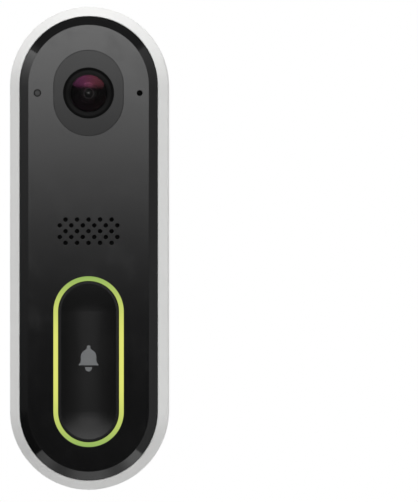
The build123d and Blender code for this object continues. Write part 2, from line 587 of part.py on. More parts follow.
def rear_housing():
    """The rear shell: its belly fits in the bracket and its two ends are seen above and below it."""
    body = rear_form(0, PAD_DEPTH, SEAM_REAR) - band(-CAP_START, CAP_START, 0, SEAM_DEPTH)
    body += rear_form(LIP_INSET, BELLY_BACK, SEAM_REAR)
    body += prism(outline(LIP_INSET), SEAM_REAR, LIP_FRONT)
    cavity = rear_form(SHELL_INSET, BELLY_FLOOR, LIP_FRONT)
    ends = rear_form(SHELL_INSET, CAP_FLOOR, LIP_FRONT)
    ends -= band(-CAP_START - CAP_SHOULDER, CAP_START + CAP_SHOULDER, 0, LIP_FRONT)
    body -= cavity + ends
    top_box, top_slot = tongue_pocket(1, TOP_TONGUE_FRONT)
    low_box, low_slot = tongue_pocket(-1, LATCH_TONGUE_FRONT)
    body += top_box + low_box + release_tower()
    inside = rear_form(LIP_INSET / 2, PAD_DEPTH + JOIN, SEAM_FRONT)
    for x, z in HOUSING_SCREW_PLACES:
        body += disc(x, z, WELL_RADIUS, PAD_DEPTH, SEAM_FRONT) & inside
    for x, z in TRAY_SCREW_PLACES:
        body += disc(x, z, TRAY_POST_RADIUS, BELLY_FLOOR - JOIN, TRAY_REAR_DEPTH)
    for x, z in PORT_SCREW_PLACES:
        body += disc(x, z, PORT_POST_RADIUS, BELLY_FLOOR - JOIN, CHARGE_BOARD_BACK)
    body -= top_slot + low_slot
    seal_ring = prism(outline(WALL), SEAL_BACK, SEAL_BACK + SEAL_SIZE[1])
    body -= seal_ring - prism(outline(LIP_INSET + SEAL_SIZE[0]), SEAL_BACK, SEAL_BACK + SEAL_SIZE[1])
    for x, z in HOUSING_SCREW_PLACES:
        body -= disc(x, z, HOUSING_HEAD[0] + HEAD_CLEARANCE, 0, HOUSING_HEAD_SEAT)
        body -= disc(x, z, HOUSING_SCREW_RADIUS + SHANK_CLEARANCE, 0, LIP_FRONT)
    body -= thread_holes(TRAY_SCREW_PLACES + PORT_SCREW_PLACES, BELLY_FLOOR + POST_FLOOR, LIP_FRONT)
    body -= upright(TOOL_DEPTH, PIN_RADIUS + GUIDE_CLEARANCE, WEB_HIGH_Z - 1, PIN_BORE_HIGH)
    opening = SlotOverall(PORT_SIZE[0] + 2 * PORT_GAP, PORT_SIZE[1] + 2 * PORT_GAP)
    return body - prism(Pos(0, PORT_Z) * opening, 0, BELLY_FLOOR + 1)


def housing_seal():
    """The ring that seals the front housing against the rear housing's lip."""
    back, front = SEAL_BACK + SEAL_SIDE_GAP, SEAL_BACK + SEAL_SIZE[1] - SEAL_SIDE_GAP
    outer = prism(outline(WALL + SEAL_EDGE_GAP), back, front)
    return outer - prism(outline(LIP_INSET + SEAL_SIZE[0] - SEAL_EDGE_GAP), 0, FACE_DEPTH)


def housing_screws():
    """Four screws that draw the two housings together."""
    return group([screw(x, z, HOUSING_SCREW_RADIUS, HOUSING_HEAD, HOUSING_HEAD_SEAT, HOUSING_SCREW_LENGTH)
                  for x, z in HOUSING_SCREW_PLACES])


# ---- Release latch -------------------------------------------------------------------------------
def release_pin():
    """The stepped pin that holds the doorbell on its bracket until it is pushed up."""
    pin = upright(TOOL_DEPTH, PIN_RADIUS, PIN_HEAD_LOW, PIN_HEAD_LOW + PIN_HEAD_LENGTH)
    pin = chamfer(pin.edges().group_by(Axis.Z)[-1], PIN_TIP_CHAMFER)
    pin += upright(TOOL_DEPTH, PIN_NECK_RADIUS, PIN_NECK_LOW, PIN_HEAD_LOW)
    pin += upright(TOOL_DEPTH, PIN_RADIUS, PIN_COLLAR_HIGH, PIN_NECK_LOW)
    pin += upright(TOOL_DEPTH, PIN_COLLAR_RADIUS, WEB_LOW_Z, PIN_COLLAR_HIGH)
    return pin + upright(TOOL_DEPTH, PIN_STEM_RADIUS, PIN_FOOT, WEB_LOW_Z)


def release_spring():
    """The coil spring that pushes the release pin down."""
    radius = PIN_RADIUS + SPRING_PIN_GAP + SPRING_WIRE / 2
    height = SPRING_LENGTH - SPRING_WIRE - 2 * SPRING_END_GAP
    start = PIN_COLLAR_HIGH + SPRING_WIRE / 2 + SPRING_END_GAP
    coil = Helix(height / SPRING_TURNS, height, radius)
    section = Plane(origin=coil @ 0, z_dir=coil % 0) * Circle(SPRING_WIRE / 2)
    return Pos(0, -TOOL_DEPTH, start) * sweep(section, path=coil)


def release_retainer():
    """The slide-in plate that carries the pin's collar."""
    half = TOWER_INNER / 2 + RETAINER_BITE - GUIDE_CLEARANCE
    low = WEB_LOW_Z - WEB_THICKNESS
    back = TOOL_DEPTH - RETAINER_BEHIND
    plate = slab(-half, half, low + GUIDE_CLEARANCE, WEB_LOW_Z, back, TOWER_FRONT)
    slot = PIN_STEM_RADIUS + GUIDE_CLEARANCE
    bore = upright(TOOL_DEPTH, slot, low, WEB_LOW_Z)
    return plate - bore - slab(-slot, slot, low, WEB_LOW_Z, back - 1, TOOL_DEPTH)


# ---- Face ----------------------------------------------------------------------------------------
def grille_places():
    """Centres of the speaker holes, row by row."""
    places = []
    for row, count in enumerate(GRILLE_ROWS):
        z = GRILLE_Z + ((len(GRILLE_ROWS) - 1) / 2 - row) * GRILLE_PITCH[1]
        places += [((hole - (count - 1) / 2) * GRILLE_PITCH[0], z) for hole in range(count)]
    return places


def face_plate():
    """The glossy black plate over the whole front."""
    plate = prism(outline(PLATE_INSET), PLATE_SEAT, PLATE_EDGE)
    plate += frustum(outline(PLATE_INSET), PLATE_EDGE, FACE_DEPTH, PLATE_BEVEL_INSET)
    plate -= prism(outline(PLATE_INSET + PLATE_SKIRT[0]), PLATE_SEAT, PLATE_BACK)
    width, height = WINDOW_SIZE
    at_camera = Pos(0, CAMERA_Z)
    seat = at_camera * stadium(width + 2 * INLAY_GAP, height + 2 * INLAY_GAP)
    opening = at_camera * stadium(width - 2 * WINDOW_LAP, height - 2 * WINDOW_LAP)
    plate -= prism(seat, FACE_DEPTH - WINDOW_THICKNESS, FACE_DEPTH)
    plate -= prism(opening, PLATE_BACK, FACE_DEPTH)
    plate -= prism(ring_outline(INLAY_GAP), PLATE_BACK, FACE_DEPTH)
    plate -= disc(-SENSOR_X, CAMERA_Z, SENSOR_RADIUS + SENSOR_GAP, PLATE_BACK, FACE_DEPTH)
    plate -= disc(SENSOR_X, CAMERA_Z, MIC_HOLE_RADIUS, PLATE_BACK, FACE_DEPTH)
    holes = [Pos(x, z) * Circle(GRILLE_HOLE_RADIUS) for x, z in grille_places()]
    return plate - prism(Sketch() + holes, PLATE_BACK, FACE_DEPTH)


def face_gasket():
    """The adhesive ring under the face plate's skirt."""
    ring = prism(outline(PLATE_INSET + GASKET_SETBACK), LEDGE_FRONT, PLATE_SEAT)
    return ring - prism(outline(PLATE_INSET + PLATE_SKIRT[0] - GASKET_SETBACK), LEDGE_FRONT, PLATE_SEAT)


def camera_window():
    """The dark pane round the lens."""
    pane = prism(Pos(0, CAMERA_Z) * stadium(*WINDOW_SIZE), FACE_DEPTH - WINDOW_THICKNESS, FACE_DEPTH)
    return pane - disc(0, CAMERA_Z, BEZEL_RADIUS + INLAY_GAP, 0, FACE_DEPTH + 1)


def turned(points):
    """A solid of revolution about the lens axis, from (radius, depth) corners."""
    profile = make_face(Polyline(*[(radius, -depth) for radius, depth in points], close=True))
    return Pos(0, 0, CAMERA_Z) * revolve(profile, Axis.Y)


def lens_bezel():
    """The ring round the lens, with a shallow cone inside its rim."""
    top, bore = FACE_DEPTH + BEZEL_PROUD, GLASS_RADIUS + INLAY_GAP
    return turned([(bore, BARREL_FRONT), (BEZEL_RADIUS, BARREL_FRONT), (BEZEL_RADIUS, top),
                   (BEZEL_RADIUS - BEZEL_RIM, top), (bore, top - BEZEL_CONE_DEPTH)])


def lens_front_element():
    """The domed front glass of the lens."""
    apex = FACE_DEPTH + DOME_HEIGHT
    hollow_radius, hollow_depth = GLASS_HOLLOW
    glass = disc(0, CAMERA_Z, GLASS_RADIUS, LENS_SEAT, apex) & ball(CAMERA_Z, DOME_RADIUS, apex)
    return glass - ball(CAMERA_Z, hollow_radius, LENS_SEAT + hollow_depth)


def lens_barrel():
    """The threaded barrel that holds the lens elements."""
    barrel = disc(0, CAMERA_Z, BARREL_RADIUS, BARREL_BACK, BARREL_FRONT)
    barrel -= disc(0, CAMERA_Z, GLASS_RADIUS + THREAD_CLEARANCE, LENS_SEAT, BARREL_FRONT)
    barrel -= disc(0, CAMERA_Z, LENS_BORE, REAR_LENS_BACK, LENS_SEAT)
    return barrel - disc(0, CAMERA_Z, REAR_APERTURE[0], BARREL_BACK, REAR_LENS_BACK)


def lens_elements():
    """Two inner lenses."""
    radius = LENS_BORE - LENS_GAP
    rear = disc(0, CAMERA_Z, radius, REAR_LENS_BACK, REAR_LENS_FRONT)
    rear &= ball(CAMERA_Z, REAR_LENS[1], REAR_LENS_FRONT)
    middle = disc(0, CAMERA_Z, radius, MIDDLE_LENS_BACK, MIDDLE_LENS_FRONT)
    curve, hollow = MIDDLE_LENS[2:]
    middle -= ball(CAMERA_Z, curve, LENS_SEAT - hollow + 2 * curve)
    return group([rear, middle])


def lens_iris():
    """The spacer and stop between the inner lenses."""
    stop_radius, bore_radius, thickness = IRIS
    stop_front = REAR_LENS_FRONT + thickness
    ring = disc(0, CAMERA_Z, LENS_BORE - LENS_GAP, REAR_LENS_FRONT, MIDDLE_LENS_BACK)
    ring -= disc(0, CAMERA_Z, stop_radius, REAR_LENS_FRONT, stop_front)
    return ring - disc(0, CAMERA_Z, bore_radius, stop_front, FACE_DEPTH)


def lens_holder():
    """The square mount that screws onto the camera board."""
    foot_width, foot_height, foot_thickness = HOLDER_FOOT
    side, depth = HOLDER_POCKET
    start = CAMERA_BOARD_FRONT
    block = centred_slab(0, CAMERA_Z, HOLDER_SIDE, HOLDER_SIDE, start, FRAME_BACK - HOLDER_GAP)
    block = fillet(block.edges().filter_by(Axis.Y), HOLDER_CORNER)
    block += centred_slab(0, CAMERA_Z, foot_width, foot_height, start, start + foot_thickness)
    block -= disc(0, CAMERA_Z, BARREL_RADIUS + THREAD_CLEARANCE, BARREL_BACK, FACE_DEPTH)
    return block - centred_slab(0, CAMERA_Z, side, side, start, start + depth)


def image_sensor():
    """The sensor chip with its cover glass."""
    width, height, thickness = IMAGE_CHIP
    return centred_slab(0, CAMERA_Z, width, height, CAMERA_BOARD_FRONT, CAMERA_BOARD_FRONT + thickness)


def camera_board():
    """The small circuit board behind the lens."""
    board = RectangleRounded(CAMERA_BOARD_SIZE, CAMERA_BOARD_SIZE, CAMERA_BOARD_CORNER)
    plate = prism(Pos(0, CAMERA_Z) * board, CAMERA_BOARD_DEPTH, CAMERA_BOARD_FRONT)
    return plate - screw_holes(CAMERA_POST_PLACES)


def lens_shroud():
    """The soft ring that keeps infrared light off the lens."""
    ring = disc(0, CAMERA_Z, SHROUD[1], SENSOR_BOARD_FRONT + GUIDE_CLEARANCE, BARREL_FRONT)
    return ring - disc(0, CAMERA_Z, SHROUD[0], 0, FACE_DEPTH)


def sensor_board():
    """The board round the lens that carries the lamps, the light sensor and the microphone."""
    inner = outline(EDGE_INSET + LEDGE_WIDTH + SENSOR_BOARD_GAP)
    shape = (Pos(0, CAMERA_Z) * Rectangle(BODY_WIDTH, SENSOR_BOARD_HEIGHT)) & inner
    board = prism(shape, SENSOR_BOARD_BACK, SENSOR_BOARD_FRONT)
    board -= disc(0, CAMERA_Z, BARREL_RADIUS + SENSOR_BOARD_BORE_GAP, 0, FACE_DEPTH)
    return board - screw_holes(SENSOR_POST_PLACES)


def sensor_board_screws():
    """Four screws from the front that hold the sensor board."""
    return group([rear_screw(x, z, SENSOR_BOARD_FRONT, SENSOR_BOARD_SCREW) for x, z in SENSOR_POST_PLACES])


def infrared_lamps():
    """Two infrared lamps above and below the lens."""
    side, thickness, radius = IR_LED
    top = SENSOR_BOARD_FRONT + thickness
    lamps = []
    for z in (CAMERA_Z - IR_LED_OFFSET, CAMERA_Z + IR_LED_OFFSET):
        lamp = centred_slab(0, z, side, side, SENSOR_BOARD_FRONT, top)
        lens = ball(z, radius, top + radius) & disc(0, z, radius, top - JOIN, FACE_DEPTH)
        lamps.append(lamp + lens)
    return group(lamps)


def light_sensor():
    """The chip that measures daylight."""
    side, thickness = SENSOR_CHIP
    return centred_slab(-SENSOR_X, CAMERA_Z, side, side, SENSOR_BOARD_FRONT, SENSOR_BOARD_FRONT + thickness)


def light_sensor_window():
    """The clear plug that leads daylight to the chip."""
    width, thickness = SENSOR_FLANGE
    back = SENSOR_BOARD_FRONT + SENSOR_CHIP[1] + PLUG_GAP
    plug = disc(-SENSOR_X, CAMERA_Z, SENSOR_RADIUS, back, FACE_DEPTH - SENSOR_RECESS)
    return plug + disc(-SENSOR_X, CAMERA_Z, SENSOR_RADIUS + width, PLATE_BACK - thickness, PLATE_BACK)


def microphone():
    """The microphone can."""
    width, height, thickness = MIC_CAN
    front = SENSOR_BOARD_FRONT + thickness
    return centred_slab(SENSOR_X, CAMERA_Z, width, height, SENSOR_BOARD_FRONT, front)


def microphone_boot():
    """The rubber sleeve between the microphone and its hole."""
    back = SENSOR_BOARD_FRONT + MIC_CAN[2]
    sleeve = disc(SENSOR_X, CAMERA_Z, MIC_BOOT_RADIUS, back, PLATE_BACK - MESH_THICKNESS)
    return sleeve - disc(SENSOR_X, CAMERA_Z, MIC_HOLE_RADIUS, 0, FACE_DEPTH)


def microphone_mesh():
    """The splash mesh over the microphone hole."""
    return disc(SENSOR_X, CAMERA_Z, MIC_BOOT_RADIUS, PLATE_BACK - MESH_THICKNESS, PLATE_BACK)


# ---- Button and light ring -----------------------------------------------------------------------
def ring_outline(offset):
    """The light ring's outer outline, grown by offset."""
    return Pos(0, BUTTON_Z) * stadium(RING_SIZE[0] + 2 * offset, RING_SIZE[1] + 2 * offset)


def light_ring():
    """The light guide round the button."""
    width, thickness = RING_FLANGE
    skirt_front = PLATE_BACK - thickness
    ring = prism(ring_outline(width), skirt_front - RING_SKIRT_DEPTH, PLATE_BACK)
    ring -= prism(ring_outline(RING_SKIRT_GAP), 0, skirt_front)
    ring += prism(ring_outline(0), BUTTON_STOP, RING_FRONT)
    return ring - prism(ring_outline(-RING_BAND), 0, FACE_DEPTH)


def ring_lamps():
    """The lamps that light the ring, placed evenly under its skirt."""
    path = ring_outline((RING_FLANGE[0] + RING_SKIRT_GAP) / 2).wire()
    width, height, thickness = LED_SIZE
    front = BUTTON_BOARD_FRONT + thickness
    lamps = []
    for count in range(RING_LAMP_COUNT):
        place = path.position_at(count / RING_LAMP_COUNT)
        lamps.append(centred_slab(place.X, place.Y, width, height, BUTTON_BOARD_FRONT, front))
    return group(lamps)


def mirrored(side):
    """A face from the corners of its right half, listed upwards."""
    left = [(-x, z) for x, z in reversed(side)]
    return make_face(Polyline(*side, *left, close=True))


def bell_outline():
    """A plain bell: body and clapper."""
    body = mirrored(BELL_SIDE) + mirrored(BELL_NECK)
    body += Pos(0, BELL_SIDE[-1][1]) * Circle(BELL_RADIUS)
    body += Pos(0, BELL_KNOB[1]) * Circle(BELL_KNOB[0])
    half, height, start = CLAPPER
    lower = Pos(0, -height) * Rectangle(2 * half, 2 * height)
    clapper = Pos(0, start) * (Ellipse(half, height) & lower)
    return Pos(0, ICON_Z) * (Sketch() + [body, clapper])


def button_blank():
    """The dished button before its icon is let in."""
    inner = -RING_BAND - BUTTON_GAP
    cap = prism(ring_outline(inner), BUTTON_STOP - BUTTON_FLANGE[1], BUTTON_FRONT)
    cap += prism(ring_outline(inner + BUTTON_FLANGE[0]), BUTTON_STOP - BUTTON_FLANGE[1], BUTTON_STOP)
    chord = RING_SIZE[0] / 2 + inner - DISH_MARGIN
    centre = BUTTON_FRONT + sqrt(DISH_RADIUS**2 - chord**2)
    half = (RING_SIZE[1] - RING_SIZE[0]) / 2
    dish = upright(centre, DISH_RADIUS, BUTTON_Z - half, BUTTON_Z + half)
    for z in (BUTTON_Z - half, BUTTON_Z + half):
        dish += Pos(0, -centre, z) * Sphere(DISH_RADIUS)
    cap -= dish
    cap -= prism(ring_outline(inner - BUTTON_WALL), 0, BUTTON_FRONT - BUTTON_SKIN)
    for z in SWITCH_HEIGHTS:
        cap += disc(0, z, PLUNGER_POST_RADIUS, PLUNGER_FRONT, BUTTON_FRONT - BUTTON_SKIN + JOIN)
    return cap


def bell_prism():
    """The room the bell takes in the button."""
    return prism(bell_outline(), BUTTON_FRONT - ICON_DEPTH, FACE_DEPTH)


def bell_icon():
    """The bell let into the button, flush with its dish."""
    return button_blank() & bell_prism()


def button_cap():
    """The call button."""
    return button_blank() - bell_prism()


def button_board():
    """The board under the button, kept clear of the speaker's cup."""
    board = prism(ring_outline(RING_FLANGE[0] + BUTTON_BOARD_MARGIN), FRAME_FRONT, BUTTON_BOARD_FRONT)
    return board - disc(0, GRILLE_Z, CUP_RADIUS + BUTTON_BOARD_GAP, 0, FACE_DEPTH)


def switch_bodies():
    """Two sealed push switches."""
    width, height, _ = SWITCH_BODY
    pieces = []
    for z in SWITCH_HEIGHTS:
        body = centred_slab(0, z, width, height, BUTTON_BOARD_FRONT, SWITCH_FRONT)
        socket = disc(0, z, PLUNGER_RADIUS + GUIDE_CLEARANCE, SWITCH_FRONT - PLUNGER_SOCKET, FACE_DEPTH)
        pieces.append(body - socket)
    return group(pieces)


def switch_plungers():
    """The switches' plungers, which the button rests on."""
    rest = SWITCH_FRONT - PLUNGER_SOCKET + BUTTON_TRAVEL + PLUNGER_END_GAP
    return group([disc(0, z, PLUNGER_RADIUS, rest, PLUNGER_FRONT) for z in SWITCH_HEIGHTS])


# ---- Speaker -------------------------------------------------------------------------------------
def speaker_frame():
    """The speaker's basket."""
    basket = disc(0, GRILLE_Z, SPEAKER_RADIUS, FRAME_FRONT, SPEAKER_FRONT)
    room = disc(0, GRILLE_Z, SPEAKER_RADIUS - SPEAKER_RIM, FRAME_FRONT + SPEAKER_FLOOR, FACE_DEPTH)
    return basket - room


def speaker_magnet():
    """The magnet cup with its pole and ring gap."""
    back = FRAME_FRONT + SPEAKER_FLOOR
    radius, height = MAGNET_SIZE
    pole_radius, gap_radius = COIL_GAP
    gap = disc(0, GRILLE_Z, gap_radius, back + MAGNET_FLOOR, FACE_DEPTH)
    gap -= disc(0, GRILLE_Z, pole_radius, 0, FACE_DEPTH)
    return disc(0, GRILLE_Z, radius, back, back + height) - gap


def speaker_cone():
    """The diaphragm with its voice coil."""
    front = SPEAKER_FRONT - CONE_SETBACK
    back = front - CONE_THICKNESS
    curve, radius, height = CONE_DOME
    cone = disc(0, GRILLE_Z, SPEAKER_RADIUS - SPEAKER_RIM - THREAD_CLEARANCE, back, front)
    coil = disc(0, GRILLE_Z, COIL[1], FRAME_FRONT + COIL_BACK, back)
    coil -= disc(0, GRILLE_Z, COIL[0], 0, FACE_DEPTH)
    dome = ball(GRILLE_Z, curve, front + height) & disc(0, GRILLE_Z, radius, front, FACE_DEPTH)
    return cone + coil + dome


def speaker_surround():
    """The ring that clamps the diaphragm's edge."""
    outer = SPEAKER_RADIUS - SPEAKER_RIM - THREAD_CLEARANCE
    ring = disc(0, GRILLE_Z, outer, SPEAKER_FRONT - CONE_SETBACK, SPEAKER_FRONT)
    return ring - disc(0, GRILLE_Z, outer - SURROUND_WIDTH, 0, FACE_DEPTH)


def speaker_gasket():
    """The foam ring between the speaker and the face plate."""
    ring = disc(0, GRILLE_Z, SPEAKER_RADIUS, SPEAKER_FRONT, PLATE_BACK - MESH_THICKNESS)
    return ring - disc(0, GRILLE_Z, SPEAKER_RADIUS - SPEAKER_RIM, 0, FACE_DEPTH)


def speaker_mesh():
    """The splash mesh behind the speaker holes."""
    return disc(0, GRILLE_Z, SPEAKER_RADIUS, PLATE_BACK - MESH_THICKNESS, PLATE_BACK)


# ---- Mid frame and main board --------------------------------------------------------------------
def mid_frame():
    """The plastic frame that carries the boards, the speaker and the camera."""
    half = BODY_HEIGHT / 2 - FRAME_END
    shape = outline(WALL + FRAME_CLEARANCE) & Rectangle(BODY_WIDTH, 2 * half)
    frame = prism(shape, FRAME_BACK, FRAME_FRONT)
    for x, z in HOUSING_SCREW_PLACES:
        frame -= disc(x, z, BOSS_RADIUS + FRAME_CLEARANCE, 0, FACE_DEPTH)
    cup = disc(0, GRILLE_Z, CUP_RADIUS, FRAME_BACK, FRAME_FRONT + SPEAKER_CUP[2])
    frame += cup - disc(0, GRILLE_Z, CUP_BORE, FRAME_FRONT, FACE_DEPTH)
    for x, z in SENSOR_POST_PLACES:
        frame += disc(x, z, SENSOR_POST_RADIUS, FRAME_BACK, SENSOR_BOARD_BACK)
    for x, z in CAMERA_POST_PLACES:
        frame += disc(x, z, CAMERA_POST_RADIUS, CAMERA_BOARD_FRONT, FRAME_BACK + JOIN)
    for x, z in BOARD_SCREW_PLACES:
        frame += disc(x, z, BOARD_POST_RADIUS, MAIN_FRONT, FRAME_BACK + JOIN)
    frame -= disc(0, CAMERA_Z, BARREL_RADIUS + FRAME_BORE_GAP, FRAME_BACK, FACE_DEPTH)
    frame -= centred_slab(0, CONNECTOR_Z, *CONNECTOR_OPENING, 0, FACE_DEPTH)
    frame -= centred_slab(0, FLEX_Z, *FLEX_OPENING, 0, FACE_DEPTH)
    frame -= screw_holes(FRAME_SCREW_PLACES)
    frame -= thread_holes(BOARD_SCREW_PLACES, 0, FRAME_FRONT - THREAD_SKIN)
    frame -= thread_holes(CAMERA_POST_PLACES, 0, CAMERA_BOARD_FRONT + BOARD_SCREW_GRIP + 1)
    return frame - thread_holes(SENSOR_POST_PLACES, SENSOR_BOARD_BACK - SENSOR_THREAD, FACE_DEPTH)


def mid_frame_screws():
    """Six screws that hold the mid frame to the front housing."""
    length = LEDGE_FRONT - FRAME_SCREW_SHORT - FRAME_BACK
    return group([screw(x, z, SMALL_SCREW_RADIUS, SMALL_HEAD, FRAME_BACK, length)
                  for x, z in FRAME_SCREW_PLACES])


def main_board():
    """The main circuit board."""
    height = MAIN_BOARD_HIGH - MAIN_BOARD_LOW
    middle = (MAIN_BOARD_HIGH + MAIN_BOARD_LOW) / 2
    shape = Pos(0, middle) * RectangleRounded(MAIN_BOARD_WIDTH, height, BOARD_CORNER)
    return prism(shape, MAIN_BACK, MAIN_FRONT) - screw_holes(BOARD_SCREW_PLACES)


def board_screws():
    """Screws that hold the main board and the camera board to the mid frame's posts."""
    places = [(x, z, MAIN_BACK) for x, z in BOARD_SCREW_PLACES]
    places += [(x, z, CAMERA_BOARD_DEPTH) for x, z in CAMERA_POST_PLACES]
    length = BOARD_THICKNESS + BOARD_SCREW_GRIP
    return group([screw(x, z, SMALL_SCREW_RADIUS, SMALL_HEAD, back, length) for x, z, back in places])


def main_processor():
    """The processor and its memory."""
    return group([chip(*PROCESSOR), chip(*MEMORY)])


def wifi_module():
    """The radio module under its metal can."""
    return chip(*RADIO_CAN)


def power_parts():
    """Coils and capacitors of the power supply."""
    return group([chip(*size) for size in COILS + CAPACITORS])


def board_connector():
    """The connector that joins the main board to the button board."""
    return centred_slab(0, CONNECTOR_Z, *CONNECTOR_SIZE, MAIN_FRONT, FRAME_FRONT)


def sensor_flex():
    """The flat cable from the sensor board to the main board."""
    start, end = SENSOR_BOARD_BACK - FLEX_LIFT, MAIN_FRONT + FLEX_LIFT
    high = CAMERA_Z - SENSOR_BOARD_HEIGHT / 2 + FLEX_LAP
    return ribbon([(start, high), (start, FLEX_Z), (end, FLEX_Z), (end, FLEX_Z - FLEX_LAP)], FLEX_WIDTH)


def camera_flex():
    """The flat cable from the camera board to the main board."""
    start, end, low = CAMERA_BOARD_DEPTH - FLEX_LIFT, MAIN_BACK - FLEX_LIFT, TRAY_HIGH + FLEX_DROP
    points = [(start, CAMERA_Z - FLEX_LAP), (start, low), (end, low), (end, MAIN_BOARD_HIGH - 2 * FLEX_LAP)]
    return ribbon(points, FLEX_WIDTH)


def wifi_antenna():
    """The flat antenna at the top of the mid frame."""
    width, height, thickness = ANTENNA
    z = BODY_HEIGHT / 2 - FRAME_END - ANTENNA_END
    return centred_slab(0, z, width, height, FRAME_BACK - thickness, FRAME_BACK)


# ---- Battery -------------------------------------------------------------------------------------
def battery_tray():
    """The cradle that holds the two cells in the rear housing."""
    tray = slab(-TRAY_HALF, TRAY_HALF, TRAY_LOW, TRAY_HIGH, TRAY_REAR_DEPTH, TRAY_FRONT)
    tray = fillet(tray.edges().filter_by(Axis.Z).group_by(Axis.Y)[0], TRAY_CORNER)
    low, high = CELL_LOW_Z - CELL_END_GAP, CELL_HIGH_Z + CELL_END_GAP
    radius = CELL_RADIUS + GUIDE_CLEARANCE
    for x in (-CELL_X, CELL_X):
        tray -= upright(CELL_DEPTH, radius, low, high, x)
        tray -= slab(x - radius, x + radius, low, high, TRAY_REAR_DEPTH, CELL_DEPTH)
    for start, end in ((low, CELL_LOW_Z), (CELL_HIGH_Z, high)):
        tray -= slab(-CELL_X, CELL_X, start, end, TRAY_REAR_DEPTH, CELL_DEPTH + LINK_ROOM)
    half = 2 * CELL_X - TRAY_WINDOW[0]
    for z in TRAY_WINDOW_HEIGHTS:
        tray -= centred_slab(0, z, 2 * half, TRAY_WINDOW[1], CELL_DEPTH + TRAY_WINDOW_BACK, TRAY_FRONT)
    length, width, thickness = TRAY_EAR
    for x, z in TRAY_SCREW_PLACES:
        tray += centred_slab(x, z, width, length + JOIN, TRAY_REAR_DEPTH, TRAY_REAR_DEPTH + thickness)
    return tray - screw_holes(TRAY_SCREW_PLACES)


def rear_screws():
    """Screws, driven towards the wall, that hold the battery tray and the charging board."""
    places = [(x, z, TRAY_REAR_DEPTH + TRAY_EAR[2]) for x, z in TRAY_SCREW_PLACES]
    places += [(x, z, CHARGE_BOARD_BACK + CHARGE_BOARD[2]) for x, z in PORT_SCREW_PLACES]
    return group([rear_screw(x, z, seat, REAR_SCREW) for x, z, seat in places])


def battery_cells():
    """Two round lithium cells side by side."""
    cells = []
    for x in (-CELL_X, CELL_X):
        shoulder = CELL_HIGH_Z - CELL_EDGE
        can = upright(CELL_DEPTH, CELL_RADIUS, CELL_LOW_Z, shoulder, x)
        pole = upright(CELL_DEPTH, CELL_POLE_RADIUS, shoulder - JOIN, CELL_HIGH_Z, x)
        cells.append(fillet(can.edges(), CELL_EDGE) + pole)
    return group(cells)


def battery_foam():
    """Two foam strips that press the cells into the tray."""
    z, height = (CELL_LOW_Z + CELL_HIGH_Z) / 2, CELL_LENGTH - 2 * FOAM_WIDTH
    front = BELLY_FLOOR + FOAM_THICKNESS
    return group([centred_slab(x, z, FOAM_WIDTH, height, BELLY_FLOOR, front) for x in (-CELL_X, CELL_X)])


def battery_links():
    """The metal strips that join the cells at each end."""
    reach, thickness, gap = LINK_SIZE
    links = []
    for low in (CELL_LOW_Z - gap - thickness, CELL_HIGH_Z + THREAD_CLEARANCE):
        links.append(slab(-CELL_X - reach, CELL_X + reach, low, low + thickness,
                          CELL_DEPTH - reach, CELL_DEPTH + reach))
    return group(links)


# ---- Charging port -------------------------------------------------------------------------------
def charging_port():
    """The charging socket, reached from behind when the doorbell is off its bracket."""
    at_port = Pos(0, PORT_Z)
    mouth = SlotOverall(PORT_SIZE[0] - 2 * PORT_WALL, PORT_SIZE[1] - 2 * PORT_WALL)
    shell = prism(at_port * SlotOverall(*PORT_SIZE), BELLY_BACK + PORT_GAP, CHARGE_BOARD_BACK)
    shell -= prism(at_port * mouth, 0, CHARGE_BOARD_BACK - PORT_FLOOR)
    return shell + centred_slab(0, PORT_Z, *PORT_BLADE, BELLY_BACK + BLADE_SETBACK, CHARGE_BOARD_BACK)


def charge_board():
    """The board that carries the charging socket."""
    width, height, thickness = CHARGE_BOARD
    board = centred_slab(0, PORT_Z, width, height, CHARGE_BOARD_BACK, CHARGE_BOARD_BACK + thickness)
    return board - screw_holes(PORT_SCREW_PLACES)


def charge_flex():
    """The flat cable from the charging board to the main board."""
    x, width = CHARGE_FLEX
    start, end = CHARGE_BOARD_BACK + CHARGE_BOARD[2] + FLEX_LIFT, MAIN_BACK - FLEX_LIFT
    high, low = PORT_Z + CHARGE_FLEX_RISE, TRAY_HIGH + FLEX_DROP
    points = [(start, high), (start, low), (end, low), (end, MAIN_BOARD_HIGH - 2 * FLEX_LAP)]
    return ribbon(points, width, x)


NODES = [
    wall_bracket, front_housing, rear_housing, housing_seal, housing_screws,
    release_pin, release_spring, release_retainer,
    face_plate, face_gasket, camera_window, lens_bezel, lens_front_element, lens_barrel, lens_elements,
    lens_iris, lens_holder, image_sensor, camera_board, lens_shroud,
    sensor_board, sensor_board_screws, infrared_lamps, light_sensor, light_sensor_window,
    microphone, microphone_boot, microphone_mesh,
    light_ring, ring_lamps, button_cap, bell_icon, button_board, switch_bodies, switch_plungers,
    speaker_frame, speaker_magnet, speaker_cone, speaker_surround, speaker_gasket, speaker_mesh,
    mid_frame, mid_frame_screws, main_board, board_screws, main_processor, wifi_module, power_parts,
    board_connector, sensor_flex, camera_flex, wifi_antenna,
    battery_tray, rear_screws, battery_cells, battery_foam, battery_links,
    charging_port, charge_board, charge_flex,
]

os.makedirs("parts", exist_ok=True)
for build in NODES:
    export_step(build(), os.path.join("parts", build.__name__ + ".step"))
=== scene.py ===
import json
from math import cos, pi, radians, sin

import bmesh
import bpy
from mathutils import Matrix, Vector


